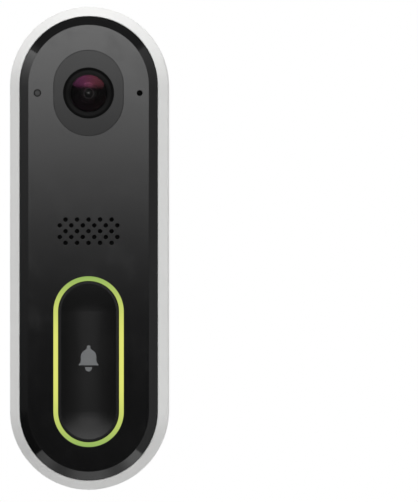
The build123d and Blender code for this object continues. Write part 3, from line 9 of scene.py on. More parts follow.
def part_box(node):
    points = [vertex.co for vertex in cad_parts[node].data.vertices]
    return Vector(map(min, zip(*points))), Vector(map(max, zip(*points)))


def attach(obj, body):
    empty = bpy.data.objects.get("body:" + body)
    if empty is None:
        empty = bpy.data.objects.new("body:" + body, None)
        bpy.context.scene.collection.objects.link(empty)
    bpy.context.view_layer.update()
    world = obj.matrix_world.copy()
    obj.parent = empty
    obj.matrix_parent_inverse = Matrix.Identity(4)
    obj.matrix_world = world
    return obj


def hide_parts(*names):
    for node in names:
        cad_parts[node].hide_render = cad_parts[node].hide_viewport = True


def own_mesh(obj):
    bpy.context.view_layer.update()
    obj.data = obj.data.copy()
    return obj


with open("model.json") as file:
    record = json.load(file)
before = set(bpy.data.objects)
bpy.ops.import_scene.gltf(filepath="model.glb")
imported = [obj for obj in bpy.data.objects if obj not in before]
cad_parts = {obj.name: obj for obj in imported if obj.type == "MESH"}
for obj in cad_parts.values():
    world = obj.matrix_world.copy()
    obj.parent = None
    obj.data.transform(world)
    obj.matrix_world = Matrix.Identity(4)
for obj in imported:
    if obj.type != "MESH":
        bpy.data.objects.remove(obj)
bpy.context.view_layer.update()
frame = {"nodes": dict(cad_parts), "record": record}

# Looks of the video doorbell, in metres: +X to the visitor's right, +Y into the wall, +Z up
MM = 0.001
nodes = frame["nodes"]


# ---- Places read from the frame ------------------------------------------------------------------
def middle(node):
    """The centre of a node's box."""
    low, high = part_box(node)
    return (low + high) / 2


FACE_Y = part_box("face_plate")[0].y
RING_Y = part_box("light_ring")[0].y
LENS = middle("lens_front_element")
BUTTON = middle("light_ring")


# ---- Camera --------------------------------------------------------------------------------------
LENS_LENGTH = 760.0  # long, so the outline stays square to the visitor
SENSOR = 36.0
VIEW_HEIGHT = 141.3 * MM  # height of the view at the face
ASIDE = 33.9 * MM  # the doorbell stands in the left half of the view
BELOW = -0.76 * MM
NEAREST, FARTHEST = 0.05, 60.0

distance = LENS_LENGTH / SENSOR * VIEW_HEIGHT
camera_data = bpy.data.cameras.new("camera")
camera_data.lens = LENS_LENGTH
camera_data.sensor_width = SENSOR
camera_data.clip_start = NEAREST
camera_data.clip_end = FARTHEST
camera = bpy.data.objects.new("camera", camera_data)
camera.location = (ASIDE, FACE_Y - distance, BELOW)
camera.rotation_euler = (pi / 2, 0, 0)
bpy.context.scene.collection.objects.link(camera)
bpy.context.scene.camera = camera
bpy.context.scene.view_settings.view_transform = "Standard"


# ---- Shader nodes --------------------------------------------------------------------------------
def rgb(*values):
    """A colour with its alpha. One value makes a grey."""
    return (*(values * 3 if len(values) == 1 else values), 1.0)


def feed(tree, node, inputs):
    """Fills a node's inputs. A socket is linked to the input, and anything else is its value."""
    for name, value in inputs.items():
        if isinstance(value, bpy.types.NodeSocket):
            tree.links.new(value, node.inputs[name])
        else:
            node.inputs[name].default_value = value


def add(tree, kind, inputs=None, **settings):
    """Adds a shader node with its inputs and settings."""
    node = tree.nodes.new("ShaderNode" + kind)
    for name, value in settings.items():
        setattr(node, name, value)
    feed(tree, node, inputs or {})
    return node


def maths(tree, operation, *values, clamp=False):
    """One Math node's result."""
    inputs = dict(enumerate(values))
    return add(tree, "Math", inputs, operation=operation, use_clamp=clamp).outputs[0]


def vector_maths(tree, operation, *values):
    """One Vector Math node's outputs."""
    return add(tree, "VectorMath", dict(enumerate(values)), operation=operation).outputs


def blend(tree, share, first, second):
    """A colour between two colours."""
    return add(tree, "Mix", {0: share, 6: first, 7: second}, data_type="RGBA").outputs[2]


def weigh(tree, share, first, second):
    """A sum of two values, in which the first has this share."""
    return maths(tree, "MULTIPLY_ADD", first, share, maths(tree, "MULTIPLY", second, 1 - share))


def ramp(tree, value, low, high, to_low=0.0, to_high=1.0, smooth=True):
    """A value carried from one range to another, held at its ends."""
    inputs = {"Value": value, "From Min": low, "From Max": high,
              "To Min": to_low, "To Max": to_high}
    kind = "SMOOTHSTEP" if smooth else "LINEAR"
    return add(tree, "MapRange", inputs, interpolation_type=kind).outputs["Result"]


def place(tree, **mapping):
    """Object coordinates, which a Rotation or a Scale may turn or stretch."""
    spot = add(tree, "TexCoord").outputs["Object"]
    if mapping:
        spot = add(tree, "Mapping", {"Vector": spot, **mapping}).outputs["Vector"]
    return spot


def axes(tree):
    """Object coordinates as their X, Y and Z."""
    return add(tree, "SeparateXYZ", {"Vector": place(tree)}).outputs


def from_axis(tree, centre):
    """Distance from the line that runs front to back through centre."""
    apart = vector_maths(tree, "SUBTRACT", place(tree), (centre.x, 0, centre.z))[0]
    flat = vector_maths(tree, "MULTIPLY", apart, (1, 0, 1))[0]
    return vector_maths(tree, "LENGTH", flat)["Value"]


def noise(tree, scale, detail=2.0, roughness=0.5, vector=None):
    """Noise in the object's own metres."""
    inputs = {"Vector": vector or place(tree), "Scale": scale,
              "Detail": detail, "Roughness": roughness}
    return add(tree, "TexNoise", inputs).outputs["Fac"]


def cells(tree, scale, randomness=1.0):
    """Distance from the middles of scattered cells."""
    inputs = {"Vector": place(tree), "Scale": scale, "Randomness": randomness}
    return add(tree, "TexVoronoi", inputs).outputs["Distance"]


def rounded(tree, radius):
    """The normal, with sharp edges rounded."""
    return add(tree, "Bevel", {"Radius": radius}, samples=4).outputs["Normal"]


def group(name, inputs, output):
    """An empty node group with named sockets. One named Color is a colour, the others numbers."""
    tree = bpy.data.node_groups.new(name, "ShaderNodeTree")
    for label, way in [(label, "INPUT") for label in inputs] + [(output, "OUTPUT")]:
        kind = "NodeSocketColor" if label == "Color" else "NodeSocketFloat"
        tree.interface.new_socket(label, in_out=way, socket_type=kind)
    given = tree.nodes.new("NodeGroupInput").outputs
    result = tree.nodes.new("NodeGroupOutput").inputs[output]
    return tree, given, result


def use(tree, made, **values):
    """Places a node group in a material with its own values, and returns its output."""
    node = tree.nodes.new("ShaderNodeGroup")
    node.node_tree = made
    feed(tree, node, values)
    return node.outputs[0]


def make_edge_wear():
    """Where an edge has been rubbed: high on sharp edges, broken up along their length."""
    off_edge, on_edge = 0.995, 0.86  # how far the rounded and the true normal agree
    whole, rubbed_off = 0.35, 0.7
    tree, given, result = group("edge_wear", ("Width", "Amount", "Breakup"), "Mask")
    straight = add(tree, "NewGeometry").outputs["Normal"]
    agreement = vector_maths(tree, "DOT_PRODUCT", rounded(tree, given["Width"]), straight)["Value"]
    edge = ramp(tree, agreement, off_edge, on_edge)
    patchy = ramp(tree, noise(tree, given["Breakup"], detail=3.0), whole, rubbed_off)
    rubbed = maths(tree, "MULTIPLY", edge, patchy)
    tree.links.new(maths(tree, "MULTIPLY", rubbed, given["Amount"], clamp=True), result)
    return tree


def make_mould_grain():
    """A spark-eroded mould surface: fine pits with a slower swell under them."""
    pit_share, swell_scale = 0.7, 0.17
    tree, given, result = group("mould_grain", ("Scale",), "Height")
    pits = noise(tree, given["Scale"], detail=3.0, roughness=0.6)
    swell = noise(tree, maths(tree, "MULTIPLY", given["Scale"], swell_scale), detail=1.0)
    tree.links.new(maths(tree, "SUBTRACT", weigh(tree, pit_share, pits, swell), 0.5), result)
    return tree


def make_colour_drift():
    """A colour that drifts a little over the surface, as moulded or painted parts do."""
    tree, given, result = group("colour_drift", ("Color", "Amount", "Scale"), "Color")
    cloud = noise(tree, given["Scale"], detail=4.0, roughness=0.55)
    shift = maths(tree, "SUBTRACT", cloud, 0.5)
    gain = maths(tree, "MULTIPLY_ADD", shift, given["Amount"], 1.0)
    drifted = add(tree, "VectorMath", {0: given["Color"], "Scale": gain}, operation="SCALE")
    tree.links.new(drifted.outputs[0], result)
    return tree


def make_handling():
    """Roughness of a polished surface that has been touched: clear, smeared and finely scuffed."""
    clean, smeared = 0.45, 0.72
    unscuffed, scuffed = 0.66, 0.8
    scuff_scale, smear_share = 4.0, 0.75
    tree, given, result = group("handling", ("Polished", "Touched", "Scale"), "Roughness")
    smear = noise(tree, given["Scale"], detail=5.0, roughness=0.62)
    smear = ramp(tree, smear, clean, smeared)
    streaks = place(tree, Rotation=(0.0, 0.6, 0.0), Scale=(9.0, 1.0, 0.6))
    finer = maths(tree, "MULTIPLY", given["Scale"], scuff_scale)
    scuff = ramp(tree, noise(tree, finer, vector=streaks), unscuffed, scuffed)
    share = weigh(tree, smear_share, smear, scuff)
    spread = maths(tree, "SUBTRACT", given["Touched"], given["Polished"])
    tree.links.new(maths(tree, "MULTIPLY_ADD", share, spread, given["Polished"]), result)
    return tree


def make_dust():
    """Specks of dust that lie thinly, in drifts."""
    speck_edge, speck_core = 0.16, 0.05
    clean, dusty, drift_scale = 0.5, 0.75, 0.12
    tree, given, result = group("dust", ("Scale", "Amount"), "Mask")
    specks = ramp(tree, cells(tree, given["Scale"]), speck_edge, speck_core)
    slower = maths(tree, "MULTIPLY", given["Scale"], drift_scale)
    drifts = ramp(tree, noise(tree, slower), clean, dusty)
    lying = maths(tree, "MULTIPLY", specks, drifts)
    tree.links.new(maths(tree, "MULTIPLY", lying, given["Amount"], clamp=True), result)
    return tree


edge_wear = make_edge_wear()
mould_grain = make_mould_grain()
colour_drift = make_colour_drift()
handling = make_handling()
dust = make_dust()


def empty_tree(owner):
    """The emptied node tree of a material or the world."""
    owner.use_nodes = True
    owner.node_tree.nodes.clear()
    return owner.node_tree


def material(name):
    """A material with a bare Principled shader, its tree and that shader."""
    made = bpy.data.materials.new(name)
    tree = empty_tree(made)
    shader = add(tree, "BsdfPrincipled")
    add(tree, "OutputMaterial", {"Surface": shader.outputs[0]})
    return made, tree, shader


def relief(tree, height, depth, **under):
    """A bumped normal, where a height of 1 is depth metres. It may lie on another Normal."""
    inputs = {"Height": height, "Distance": depth, "Strength": 1.0, **under}
    return add(tree, "Bump", inputs).outputs["Normal"]


# ---- Materials -----------------------------------------------------------------------------------
WHITE_DUST = (0.32, 0.31, 0.29)  # dust on moulded plastic
BLACK_DUST = 0.11  # dust and wear on polished plastic
BLACK_WORN = 0.03
BARE_METAL = (0.82, 0.81, 0.79)
TINNED = (0.55, 0.53, 0.48)
CAN_END = (0.62, 0.61, 0.58)


def moulded(name, colour, roughness, grain_scale, grain_depth, drift, wear, worn=None,
            edge=0.25 * MM, dusty=0.0, specular=0.5):
    """Moulded plastic: drifting colour, mould grain, rounded and rubbed edges."""
    paler, lift = 1.15, 0.01  # a rubbed edge's colour, unless worn gives it
    grain_rough, rubbed_smooth = 0.25, 0.12
    made, tree, shader = material(name)
    body = use(tree, colour_drift, Color=rgb(*colour), Amount=drift, Scale=70.0)
    rubbed = use(tree, edge_wear, Width=edge, Amount=wear, Breakup=700.0)
    worn = worn or [min(1.0, value * paler + lift) for value in colour]
    shade = blend(tree, rubbed, body, rgb(*worn))
    if dusty:
        specks = use(tree, dust, Scale=1300.0, Amount=dusty)
        shade = blend(tree, specks, shade, rgb(*WHITE_DUST))
    grain = use(tree, mould_grain, Scale=grain_scale)
    rough = maths(tree, "MULTIPLY_ADD", grain, grain_rough, roughness)
    feed(tree, shader, {
        "Base Color": shade,
        "Roughness": maths(tree, "MULTIPLY_ADD", rubbed, -rubbed_smooth, rough),
        "Specular IOR Level": specular,
        "Normal": relief(tree, grain, grain_depth, Normal=rounded(tree, edge))})
    return made


def polished(name, colour, clear, touched, specular, dusty=0.12):
    """Piano-black plastic: deep colour under a clear surface with faint smears and dust."""
    edge = 0.15 * MM
    made, tree, shader = material(name)
    body = use(tree, colour_drift, Color=rgb(*colour), Amount=0.2, Scale=90.0)
    specks = use(tree, dust, Scale=1100.0, Amount=dusty)
    rubbed = use(tree, edge_wear, Width=edge, Amount=0.25, Breakup=800.0)
    shade = blend(tree, specks, body, rgb(BLACK_DUST))
    feed(tree, shader, {
        "Base Color": blend(tree, rubbed, shade, rgb(BLACK_WORN)),
        "Roughness": use(tree, handling, Polished=clear, Touched=touched, Scale=110.0),
        "Specular IOR Level": specular,
        "Normal": relief(tree, noise(tree, 35.0), 0.01 * MM, Normal=rounded(tree, edge))})
    return made


# Where the lens's tint and the painted reflection on it change, outwards from its axis, from left
# to right or upwards from it
CLEAR_CORE = (2.7 * MM, 1.8 * MM)
LEFT_TO_RIGHT = (-3.5 * MM, 3.5 * MM)
PAINTED_REFLECTION_FOOT_TO_TOP = (LENS.z + 1.0 * MM, LENS.z + 2.9 * MM)
PAINTED_REFLECTION_CORE_TO_SIDE = (1.0 * MM, 4.6 * MM)
PAINTED_REFLECTION_GAP = (1.5 * MM, 0.9 * MM)
PAINTED_HIGHLIGHT_SPOT = (0.6 * MM, 0.2 * MM)


def lens_glass(name, clear, middle_clear, index, coatings, bare):
    """Coated glass with a clearer middle, and a painted reflection: its tint is set by place, so
    the reflection shines in the upper half, in two casts from left to right. A painted gap leaves
    the axis without it, but for a small painted highlight spot in the bare tint."""
    foot, side = 0.05, 0.5  # shares of the painted reflection at its foot and at its sides
    made, tree, shader = material(name)
    away = from_axis(tree, LENS)
    spot = axes(tree)
    tint = blend(tree, ramp(tree, away, *CLEAR_CORE), rgb(clear), rgb(middle_clear))
    left, right = [rgb(*coating) for coating in coatings]
    # Painted reflection: the coating's two casts are placed by position, strong in the upper half
    # and weaker at the sides
    painted_reflection = blend(tree, ramp(tree, spot["X"], *LEFT_TO_RIGHT), left, right)
    upper = ramp(tree, spot["Z"], *PAINTED_REFLECTION_FOOT_TO_TOP, to_low=foot)
    aside = maths(tree, "ABSOLUTE", spot["X"])
    sides = ramp(tree, aside, *PAINTED_REFLECTION_CORE_TO_SIDE, to_low=1.0, to_high=side)
    painted_reflection = blend(tree, maths(tree, "MULTIPLY", upper, sides), rgb(0.0), painted_reflection)
    # The painted reflection stops in a ring around the axis
    painted_reflection = blend(tree, ramp(tree, away, *PAINTED_REFLECTION_GAP), painted_reflection, rgb(0.0))
    feed(tree, shader, {
        "Base Color": use(tree, colour_drift, Color=tint, Amount=0.04, Scale=300.0),
        "Roughness": use(tree, handling, Polished=0.01, Touched=0.05, Scale=260.0),
        "Transmission Weight": 0.98,
        "IOR": index,
        # A small painted highlight spot on the axis takes the bare tint
        "Specular Tint": blend(tree, ramp(tree, away, *PAINTED_HIGHLIGHT_SPOT), painted_reflection, rgb(bare)),
        "Specular IOR Level": 1.0})
    return made


def round_core(name, node, radius, core, rim, specular, inner=0.0, painted_reflection_gain=1.0):
    """Dark plastic with a paler round middle, or a ring from inner to radius. The gain paints a
    reflection on it: its top is that much paler than its lower half."""
    rough_rim, rough_core = 0.5, 0.35
    made, tree, shader = material(name)
    edge = min(0.12 * radius, 0.1 * MM)  # half the width of its soft edge
    centre = middle(node)
    away = from_axis(tree, centre)
    share = ramp(tree, away, radius + edge, radius - edge)
    if inner:
        share = maths(tree, "MULTIPLY", share, ramp(tree, away, inner - edge, inner + edge))
    # Painted reflection: the core grows paler from its middle height to its top
    height = ramp(tree, axes(tree)["Z"], centre.z, centre.z + radius)
    core_with_painted_top = blend(tree, height, rgb(core), rgb(core * painted_reflection_gain))
    core_with_painted_top = use(tree, colour_drift, Color=core_with_painted_top, Amount=0.3, Scale=900.0)
    feed(tree, shader, {
        "Base Color": blend(tree, share, rgb(rim), core_with_painted_top),
        "Roughness": ramp(tree, share, 0.0, 1.0, rough_rim, rough_core),
        "Specular IOR Level": specular,
        "Normal": relief(tree, noise(tree, 5000.0), 0.01 * MM)})
    return made


def light_guide():
    """The lit ring: green at its ends and yellow along its sides."""
    yellow, green, unlit = (0.72, 0.74, 0.14), (0.255, 0.42, 0.075), (0.004, 0.006, 0.001)
    sides, ends = 5.5 * MM, 24.0 * MM  # heights from the button's middle
    curve, patchiness = 1.5, 0.12
    behind, lit = RING_Y + 0.12 * MM, RING_Y + 0.02 * MM
    made, tree, shader = material("light_guide")
    spot = axes(tree)
    away = maths(tree, "ABSOLUTE", maths(tree, "SUBTRACT", spot["Z"], BUTTON.z))
    greener = maths(tree, "POWER", ramp(tree, away, sides, ends, smooth=False), curve)
    patch = maths(tree, "SUBTRACT", noise(tree, 220.0), 0.5)
    greener = maths(tree, "MULTIPLY_ADD", patch, patchiness, greener, clamp=True)
    glow = blend(tree, greener, rgb(*yellow), rgb(*green))
    shown = ramp(tree, spot["Y"], behind, lit)
    feed(tree, shader, {
        "Base Color": use(tree, colour_drift, Color=rgb(0.05, 0.06, 0.04), Amount=0.1, Scale=200.0),
        "Roughness": use(tree, handling, Polished=0.3, Touched=0.42, Scale=200.0),
        "Specular IOR Level": 0.2,
        "Emission Color": blend(tree, shown, rgb(*unlit), glow),
        "Emission Strength": 0.95})
    return made


def clear_plastic():
    """Smoky clear plastic."""
    made, tree, shader = material("clear_plastic")
    feed(tree, shader, {
        "Base Color": use(tree, colour_drift, Color=rgb(0.5), Amount=0.1, Scale=400.0),
        "Roughness": use(tree, handling, Polished=0.12, Touched=0.3, Scale=500.0),
        "Transmission Weight": 0.6})
    return made


def soft_rubber(name, colour, roughness, scale, depth):
    """Rubber or foam with an open matt surface."""
    pore_rough = 0.2
    made, tree, shader = material(name)
    pores = cells(tree, scale)
    feed(tree, shader, {
        "Base Color": use(tree, colour_drift, Color=rgb(*colour), Amount=0.25, Scale=500.0),
        "Roughness": maths(tree, "MULTIPLY_ADD", pores, pore_rough, roughness),
        "Normal": relief(tree, pores, depth)})
    return made


def metal(name, colour, roughness, stretch):
    """Worked metal with fine tool lines along one direction."""
    line_rough = 0.25
    made, tree, shader = material(name)
    body = use(tree, colour_drift, Color=rgb(*colour), Amount=0.12, Scale=400.0)
    rubbed = use(tree, edge_wear, Width=0.1 * MM, Amount=0.6, Breakup=1500.0)
    lines = noise(tree, 5000.0, vector=place(tree, Scale=stretch))
    feed(tree, shader, {
        "Base Color": blend(tree, rubbed, body, rgb(*BARE_METAL)),
        "Roughness": maths(tree, "MULTIPLY_ADD", lines, line_rough, roughness),
        "Metallic": 1.0,
        "Normal": relief(tree, lines, 0.004 * MM)})
    return made


def circuit_board():
    """Green solder mask over copper tracks, with tinned pads."""
    mask_green, track_green = (0.006, 0.065, 0.028), (0.02, 0.14, 0.05)
    no_track, whole_track = 0.46, 0.5
    pad_edge, pad_core = 0.2, 0.16
    track_share, track_rough, mask_rough = 0.7, 0.1, 0.3
    made, tree, shader = material("circuit_board")
    grid = add(tree, "TexBrick", {
        "Vector": place(tree, Rotation=(pi / 2, 0.0, 0.0)), "Scale": 260.0, "Mortar Size": 0.06,
        "Color1": rgb(0.0), "Color2": rgb(0.2), "Mortar": rgb(1.0)}, offset=0.5).outputs["Color"]
    broken = ramp(tree, noise(tree, 330.0, detail=1.0), no_track, whole_track)
    track = maths(tree, "MULTIPLY", grid, broken)
    pad = ramp(tree, cells(tree, 420.0, randomness=0.6), pad_edge, pad_core)
    mask = use(tree, colour_drift, Color=rgb(*mask_green), Amount=0.2, Scale=120.0)
    shade = blend(tree, maths(tree, "MULTIPLY", track, track_share), mask, rgb(*track_green))
    feed(tree, shader, {
        "Base Color": blend(tree, pad, shade, rgb(*TINNED)),
        "Roughness": maths(tree, "MULTIPLY_ADD", track, track_rough, mask_rough),
        "Metallic": pad,
        "Normal": relief(tree, maths(tree, "MAXIMUM", track, pad), 0.03 * MM)})
    return made


def waves(tree, along, pitch):
    """A wave along one of the object's axes."""
    return maths(tree, "SINE", maths(tree, "MULTIPLY", along, 2 * pi / pitch))


def flat_cable():
    """Amber film with copper lines along its length."""
    amber, copper = (0.36, 0.13, 0.015), (0.48, 0.23, 0.05)
    film_edge, line_edge = -0.1, 0.35
    made, tree, shader = material("flex")
    line = ramp(tree, waves(tree, axes(tree)["X"], 0.6 * MM), film_edge, line_edge)
    film = use(tree, colour_drift, Color=rgb(*amber), Amount=0.2, Scale=200.0)
    feed(tree, shader, {
        "Base Color": blend(tree, line, film, rgb(*copper)),
        "Roughness": use(tree, handling, Polished=0.22, Touched=0.4, Scale=300.0),
        "Normal": relief(tree, line, 0.02 * MM)})
    return made


def woven_mesh():
    """Fine woven splash mesh."""
    pitch = 0.22 * MM
    opening, wire = 0.2, 0.9
    rough_opening, rough_wire = 0.85, 0.55
    made, tree, shader = material("mesh")
    spot = axes(tree)
    weft, warp = waves(tree, spot["X"], pitch), waves(tree, spot["Z"], pitch)
    thread = ramp(tree, maths(tree, "MAXIMUM", weft, warp), opening, wire)
    feed(tree, shader, {
        "Base Color": blend(tree, thread, rgb(0.001), rgb(0.008)),
        "Roughness": ramp(tree, thread, 0.0, 1.0, rough_opening, rough_wire),
        "Normal": relief(tree, thread, 0.06 * MM)})
    return made


def cell_wrap():
    """Shrink film on a battery cell, with its two ends bare."""
    foot, top, fade = 0.4 * MM, 1.5 * MM, 0.1 * MM  # lengths of the bare ends and their edges
    made, tree, shader = material("cell_can")
    height = axes(tree)["Z"]
    low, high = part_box("battery_cells")
    bare = maths(tree, "MAXIMUM", ramp(tree, height, low.z + foot + fade, low.z + foot - fade),
                 ramp(tree, height, high.z - top - fade, high.z - top + fade))
    film = use(tree, colour_drift, Color=rgb(0.015, 0.10, 0.13), Amount=0.15, Scale=90.0)
    feed(tree, shader, {
        "Base Color": blend(tree, bare, film, rgb(*CAN_END)),
        "Roughness": use(tree, handling, Polished=0.2, Touched=0.36, Scale=150.0),
        "Metallic": bare,
        "Normal": relief(tree, noise(tree, 500.0), 0.03 * MM)})
    return made


finishes = {
    "white_shell": moulded("white_shell", (0.80, 0.80, 0.79), roughness=0.42, grain_scale=7000.0,
                           grain_depth=0.012 * MM, drift=0.03, wear=0.5, worn=(0.86, 0.86, 0.85),
                           edge=0.3 * MM, dusty=0.06, specular=0.45),
    "gloss_black": polished("gloss_black", (0.0042, 0.0042, 0.0044), clear=0.07, touched=0.11,
                            specular=0.5),
    "dark_window": polished("dark_window", (0.003, 0.003, 0.0032), clear=0.04, touched=0.07,
                            specular=0.27, dusty=0.06),
    # bare is the tint of the painted highlight spot on the lens's axis
    "lens_glass": lens_glass("lens_glass", clear=0.2, middle_clear=0.33, index=1.68, bare=0.45,
                             coatings=((0.85, 0.18, 0.55), (1.0, 0.24, 0.34))),
    "black_plastic": moulded("black_plastic", (0.0065, 0.0065, 0.0065), roughness=0.36,
                             grain_scale=6000.0, grain_depth=0.02 * MM, drift=0.15, wear=0.4),
    "grey_plastic": moulded("grey_plastic", (0.21, 0.21, 0.21), roughness=0.4, grain_scale=6000.0,
                            grain_depth=0.015 * MM, drift=0.08, wear=0.4),
    "rubber": soft_rubber("rubber", (0.018, 0.018, 0.018), roughness=0.6, scale=7000.0,
                          depth=0.02 * MM),
    "foam": soft_rubber("foam", (0.03, 0.03, 0.032), roughness=0.8, scale=2600.0, depth=0.12 * MM),
    "clear_plastic": clear_plastic(),
    "light_guide": light_guide(),
    "circuit_board": circuit_board(),
    "chip": moulded("chip", (0.014, 0.014, 0.015), roughness=0.5, grain_scale=9000.0,
                    grain_depth=0.012 * MM, drift=0.15, wear=0.3),
    "steel": metal("steel", (0.52, 0.52, 0.53), roughness=0.24, stretch=(1.0, 1.0, 6.0)),
    "nickel": metal("nickel", (0.60, 0.56, 0.48), roughness=0.28, stretch=(0.15, 1.0, 1.0)),
    "cell_can": cell_wrap(),
    "flex": flat_cable(),
    "mesh": woven_mesh(),
}

# Nodes whose finish differs from the rest of their slot
own_finishes = {
    "bell_icon": moulded("bell_grey", (0.178, 0.184, 0.188), roughness=0.5, grain_scale=5000.0,
                         grain_depth=0.01 * MM, drift=0.06, wear=0.2, specular=0.2),
    "button_cap": polished("button_black", (0.0018, 0.0018, 0.0018), clear=0.19, touched=0.22,
                           specular=0.29),
    "lens_elements": lens_glass("inner_glass", clear=0.85, middle_clear=0.9, index=1.5, bare=0.02,
                                coatings=((0.01, 0.012, 0.02), (0.01, 0.012, 0.02))),
    "light_sensor_window": round_core("sensor_window", "light_sensor_window", radius=0.7 * MM,
                                      core=0.055, rim=0.004, specular=0.2),
    "lens_iris": round_core("iris", "lens_iris", radius=2.1 * MM, inner=1.7 * MM, core=0.6,
                            rim=0.002, specular=0.1),
    # The bezel's paler top is a painted reflection
    "lens_bezel": round_core("bezel", "lens_bezel", radius=6.4 * MM, core=0.0085, rim=0.003,
                             specular=0.04, painted_reflection_gain=2.4),
}

for part in frame["record"]["subparts"]:
    finish = own_finishes.get(part["node"], finishes[part["material_slot"]])
    nodes[part["node"]].material_slots[0].material = finish


# ---- New pieces ----------------------------------------------------------------------------------
def piece_from(mesh, name, finish):
    """An object made of a bmesh, which is freed."""
    data = bpy.data.meshes.new(name)
    mesh.to_mesh(data)
    mesh.free()
    data.materials.append(finish)
    piece = bpy.data.objects.new(name, data)
    bpy.context.scene.collection.objects.link(piece)
    return piece


def coil_spring():
    """The release spring as one smooth piece, which rides with the doorbell."""
    joined, sharp = 0.001 * MM, radians(40)
    mesh = bmesh.new()
    mesh.from_mesh(nodes["release_spring"].data)
    bmesh.ops.remove_doubles(mesh, verts=mesh.verts, dist=joined)
    bmesh.ops.recalc_face_normals(mesh, faces=mesh.faces)
    spring = piece_from(mesh, "coil_spring", finishes["steel"])
    spring.data.shade_smooth()
    spring.data.set_sharp_from_angle(angle=sharp)
    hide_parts("release_spring")
    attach(spring, "doorbell")
    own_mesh(spring)


coil_spring()


# ---- Floor and light -----------------------------------------------------------------------------
FLOOR_Z = -0.30
FLOOR_RADIUS = 5.0
LEFT_TOP, RIGHT_TOP = 0.233, 0.26  # heights of the side cards' upper edges
SIDE_X = 0.30  # side cards, away from the doorbell's middle
SIDE_Y, SIDE_DEPTH = 0.14, 0.62  # they end beside the face, out of the lens's sight
FRONT_Y = FACE_Y - 0.99 * distance  # the front cards, just short of the camera
LOW_Z = FLOOR_Z + 0.004  # cards that lie on the floor


def pale_floor():
    """A plain pale floor, well below the doorbell, that the camera sees nearly white."""
    white, white_share = 0.9, 0.9
    mesh = bmesh.new()
    bmesh.ops.create_circle(mesh, cap_ends=True, segments=96, radius=FLOOR_RADIUS)
    bmesh.ops.translate(mesh, verts=mesh.verts, vec=(0, 0, FLOOR_Z))
    made, tree, shader = material("pale_floor")
    feed(tree, shader, {
        "Base Color": use(tree, colour_drift, Color=rgb(0.66), Amount=0.03, Scale=3.0),
        "Roughness": use(tree, handling, Polished=0.7, Touched=0.8, Scale=4.0),
        "Specular IOR Level": 0.1})
    paper = add(tree, "Emission", {"Color": rgb(1.0), "Strength": white})
    ray = add(tree, "LightPath").outputs
    seen = maths(tree, "MULTIPLY", ray["Is Camera Ray"], white_share)
    mixed = add(tree, "MixShader", {"Fac": seen, 1: shader.outputs[0], 2: paper.outputs[0]})
    feed(tree, tree.nodes["Material Output"], {"Surface": mixed.outputs[0]})
    floor = piece_from(mesh, "floor", made)


def studio():
    """A white room. Reflections see it dark behind the camera, dim above and grey at the sides."""
    seen, soft, walls, behind_camera = 1.0, 0.335, 0.33, 0.05  # brightness
    front_edge, front_core = -0.25, -0.62  # directions along Y
    overhead_edge, overhead_core, overhead_loss = 0.55, 0.65, 0.65  # directions along Z
    world = bpy.data.worlds.new("studio")
    tree = empty_tree(world)
    toward = add(tree, "TexCoord").outputs["Generated"]
    toward = add(tree, "SeparateXYZ", {"Vector": toward}).outputs
    front = ramp(tree, toward["Y"], front_edge, front_core)
    overhead = ramp(tree, toward["Z"], overhead_edge, overhead_core)
    level = maths(tree, "MULTIPLY", maths(tree, "SUBTRACT", 1.0, front), walls)
    dimmed = maths(tree, "MULTIPLY_ADD", overhead, -overhead_loss, 1.0)
    level = maths(tree, "MULTIPLY", dimmed, level)
    level = maths(tree, "MULTIPLY_ADD", front, behind_camera, level)
    light = [add(tree, "Background", {"Color": rgb(1.0), "Strength": strength}).outputs[0]
             for strength in (soft, level, seen)]
    ray = add(tree, "LightPath").outputs
    lit = add(tree, "MixShader", {"Fac": ray["Is Glossy Ray"], 1: light[0], 2: light[1]}).outputs[0]
    mixed = add(tree, "MixShader", {"Fac": ray["Is Camera Ray"], 1: lit, 2: light[2]}).outputs[0]
    add(tree, "OutputWorld", {"Surface": mixed})
    bpy.context.scene.world = world


def softbox(name, azimuth, elevation, away, width, height, radiance, seen_by="both"):
    """A rectangular lamp that faces the doorbell. Azimuth 0 is in front of it."""
    lamp = bpy.data.lights.new(name, "AREA")
    lamp.shape = "RECTANGLE"
    lamp.size = width
    lamp.size_y = height
    lamp.energy = radiance * pi * width * height
    side, up = radians(azimuth), radians(elevation)
    back = Vector((sin(side) * cos(up), -cos(side) * cos(up), sin(up)))
    box = bpy.data.objects.new(name, lamp)
    box.location = Vector((0, FACE_Y, 0)) + back * away
    box.rotation_euler = back.to_track_quat("Z", "Y").to_euler()
    box.visible_camera = False
    box.visible_glossy = seen_by != "surfaces"
    box.visible_diffuse = seen_by != "reflections"
    bpy.context.scene.collection.objects.link(box)


def card(name, turn, centre, width, height, level):
    """A card that only reflections see. It lies flat unless turned, and level is its brightness."""
    mesh = bmesh.new()
    bmesh.ops.create_grid(mesh, x_segments=1, y_segments=1, size=0.5)
    bmesh.ops.scale(mesh, verts=mesh.verts, vec=(width, height, 1))
    if turn:
        bmesh.ops.rotate(mesh, verts=mesh.verts, matrix=Matrix.Rotation(pi / 2, 3, turn))
    bmesh.ops.translate(mesh, verts=mesh.verts, vec=centre)
    made = bpy.data.materials.new(name)
    tree = empty_tree(made)
    glow = add(tree, "Emission", {"Color": rgb(1.0), "Strength": level(tree, axes(tree))})
    add(tree, "OutputMaterial", {"Surface": glow.outputs[0]})
    board = piece_from(mesh, name, made)
    board.visible_camera = False
    board.visible_diffuse = False
    board.visible_shadow = False
    board.visible_transmission = False


def front_level(tree, spot):
    """Dark at the foot of the face's reflection and bright at its top."""
    foot, top = -0.0514, 0.160
    darkest, gain, curve = 0.05, 5.3, 1.9
    share = ramp(tree, spot["Z"], foot, top, smooth=False)
    return maths(tree, "MULTIPLY_ADD", maths(tree, "POWER", share, curve), gain, darkest)


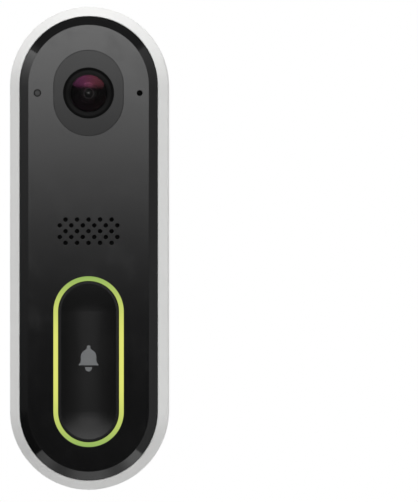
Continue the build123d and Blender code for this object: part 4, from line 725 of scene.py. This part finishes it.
def upper_level(tree, spot):
    """Brighter and brighter upwards, for the foot of the button's dish."""
    foot, top = 0.18, 0.70
    return ramp(tree, spot["Z"], foot, top, to_low=0.9, to_high=3.2, smooth=False)


def left_level(tree, spot):
    """Nearly dark below, and brighter and brighter towards its top edge."""
    gain, curve = 1.6, 1.5
    low = ramp(tree, spot["Z"], -0.08, 0.05, to_low=0.03, to_high=0.40, smooth=False)
    high = ramp(tree, spot["Z"], 0.03, LEFT_TOP, smooth=False)
    return maths(tree, "MULTIPLY_ADD", maths(tree, "POWER", high, curve), gain, low)


def right_level(tree, spot):
    """Even grey, a little dimmer at middle height."""
    waist = 0.05
    low = ramp(tree, spot["Z"], -0.06, waist, to_low=0.40, to_high=0.30, smooth=False)
    high = ramp(tree, spot["Z"], waist, RIGHT_TOP, to_high=0.25, smooth=False)
    return maths(tree, "ADD", low, high)


def under_level(tree, spot):
    """Bright in the middle and at both sides, dimmer between them, and brightest at the right."""
    away = maths(tree, "ABSOLUTE", spot["X"])
    near = ramp(tree, away, 0.03, 0.11, to_low=1.03, to_high=0.60)
    far = ramp(tree, away, 0.12, 0.22, to_high=0.62)
    tilt = ramp(tree, spot["X"], -SIDE_X, SIDE_X, to_low=0.64, to_high=1.36, smooth=False)
    return maths(tree, "MULTIPLY", maths(tree, "ADD", near, far), tilt)


def low_level(tree, spot):
    """Dim, and a little brighter near the doorbell."""
    far, near = -2.0, -0.9
    return ramp(tree, spot["Y"], far, near, to_low=0.1, to_high=0.6, smooth=False)


pale_floor()
studio()
card("front_card", "X", (-ASIDE, FRONT_Y, -0.0375), width=0.6, height=0.425, level=front_level)
card("upper_card", "X", (-ASIDE, FRONT_Y, 0.487), width=1.3, height=0.62, level=upper_level)
for name, x, top, level in (("left_card", -SIDE_X, LEFT_TOP, left_level),
                            ("right_card", SIDE_X, RIGHT_TOP, right_level)):
    card(name, "Y", (x, SIDE_Y, (top + FLOOR_Z) / 2), top - FLOOR_Z, SIDE_DEPTH, level)
card("under_card", None, (0, 0.12, LOW_Z), width=2 * SIDE_X, height=0.36, level=under_level)
card("low_card", None, (0, -1.08, LOW_Z), width=3.0, height=2.0, level=low_level)
softbox("front_softbox", azimuth=0.0, elevation=30.0, away=1.2, width=1.9, height=0.8,
        radiance=1.25, seen_by="reflections")
softbox("top_softbox", azimuth=0.0, elevation=65.0, away=1.5, width=1.2, height=1.2,
        radiance=4.7, seen_by="surfaces")
softbox("left_softbox", azimuth=-130.0, elevation=10.0, away=1.2, width=0.9, height=1.0,
        radiance=1.7)
softbox("right_softbox", azimuth=125.0, elevation=10.0, away=1.2, width=0.9, height=1.0,
        radiance=2.3)
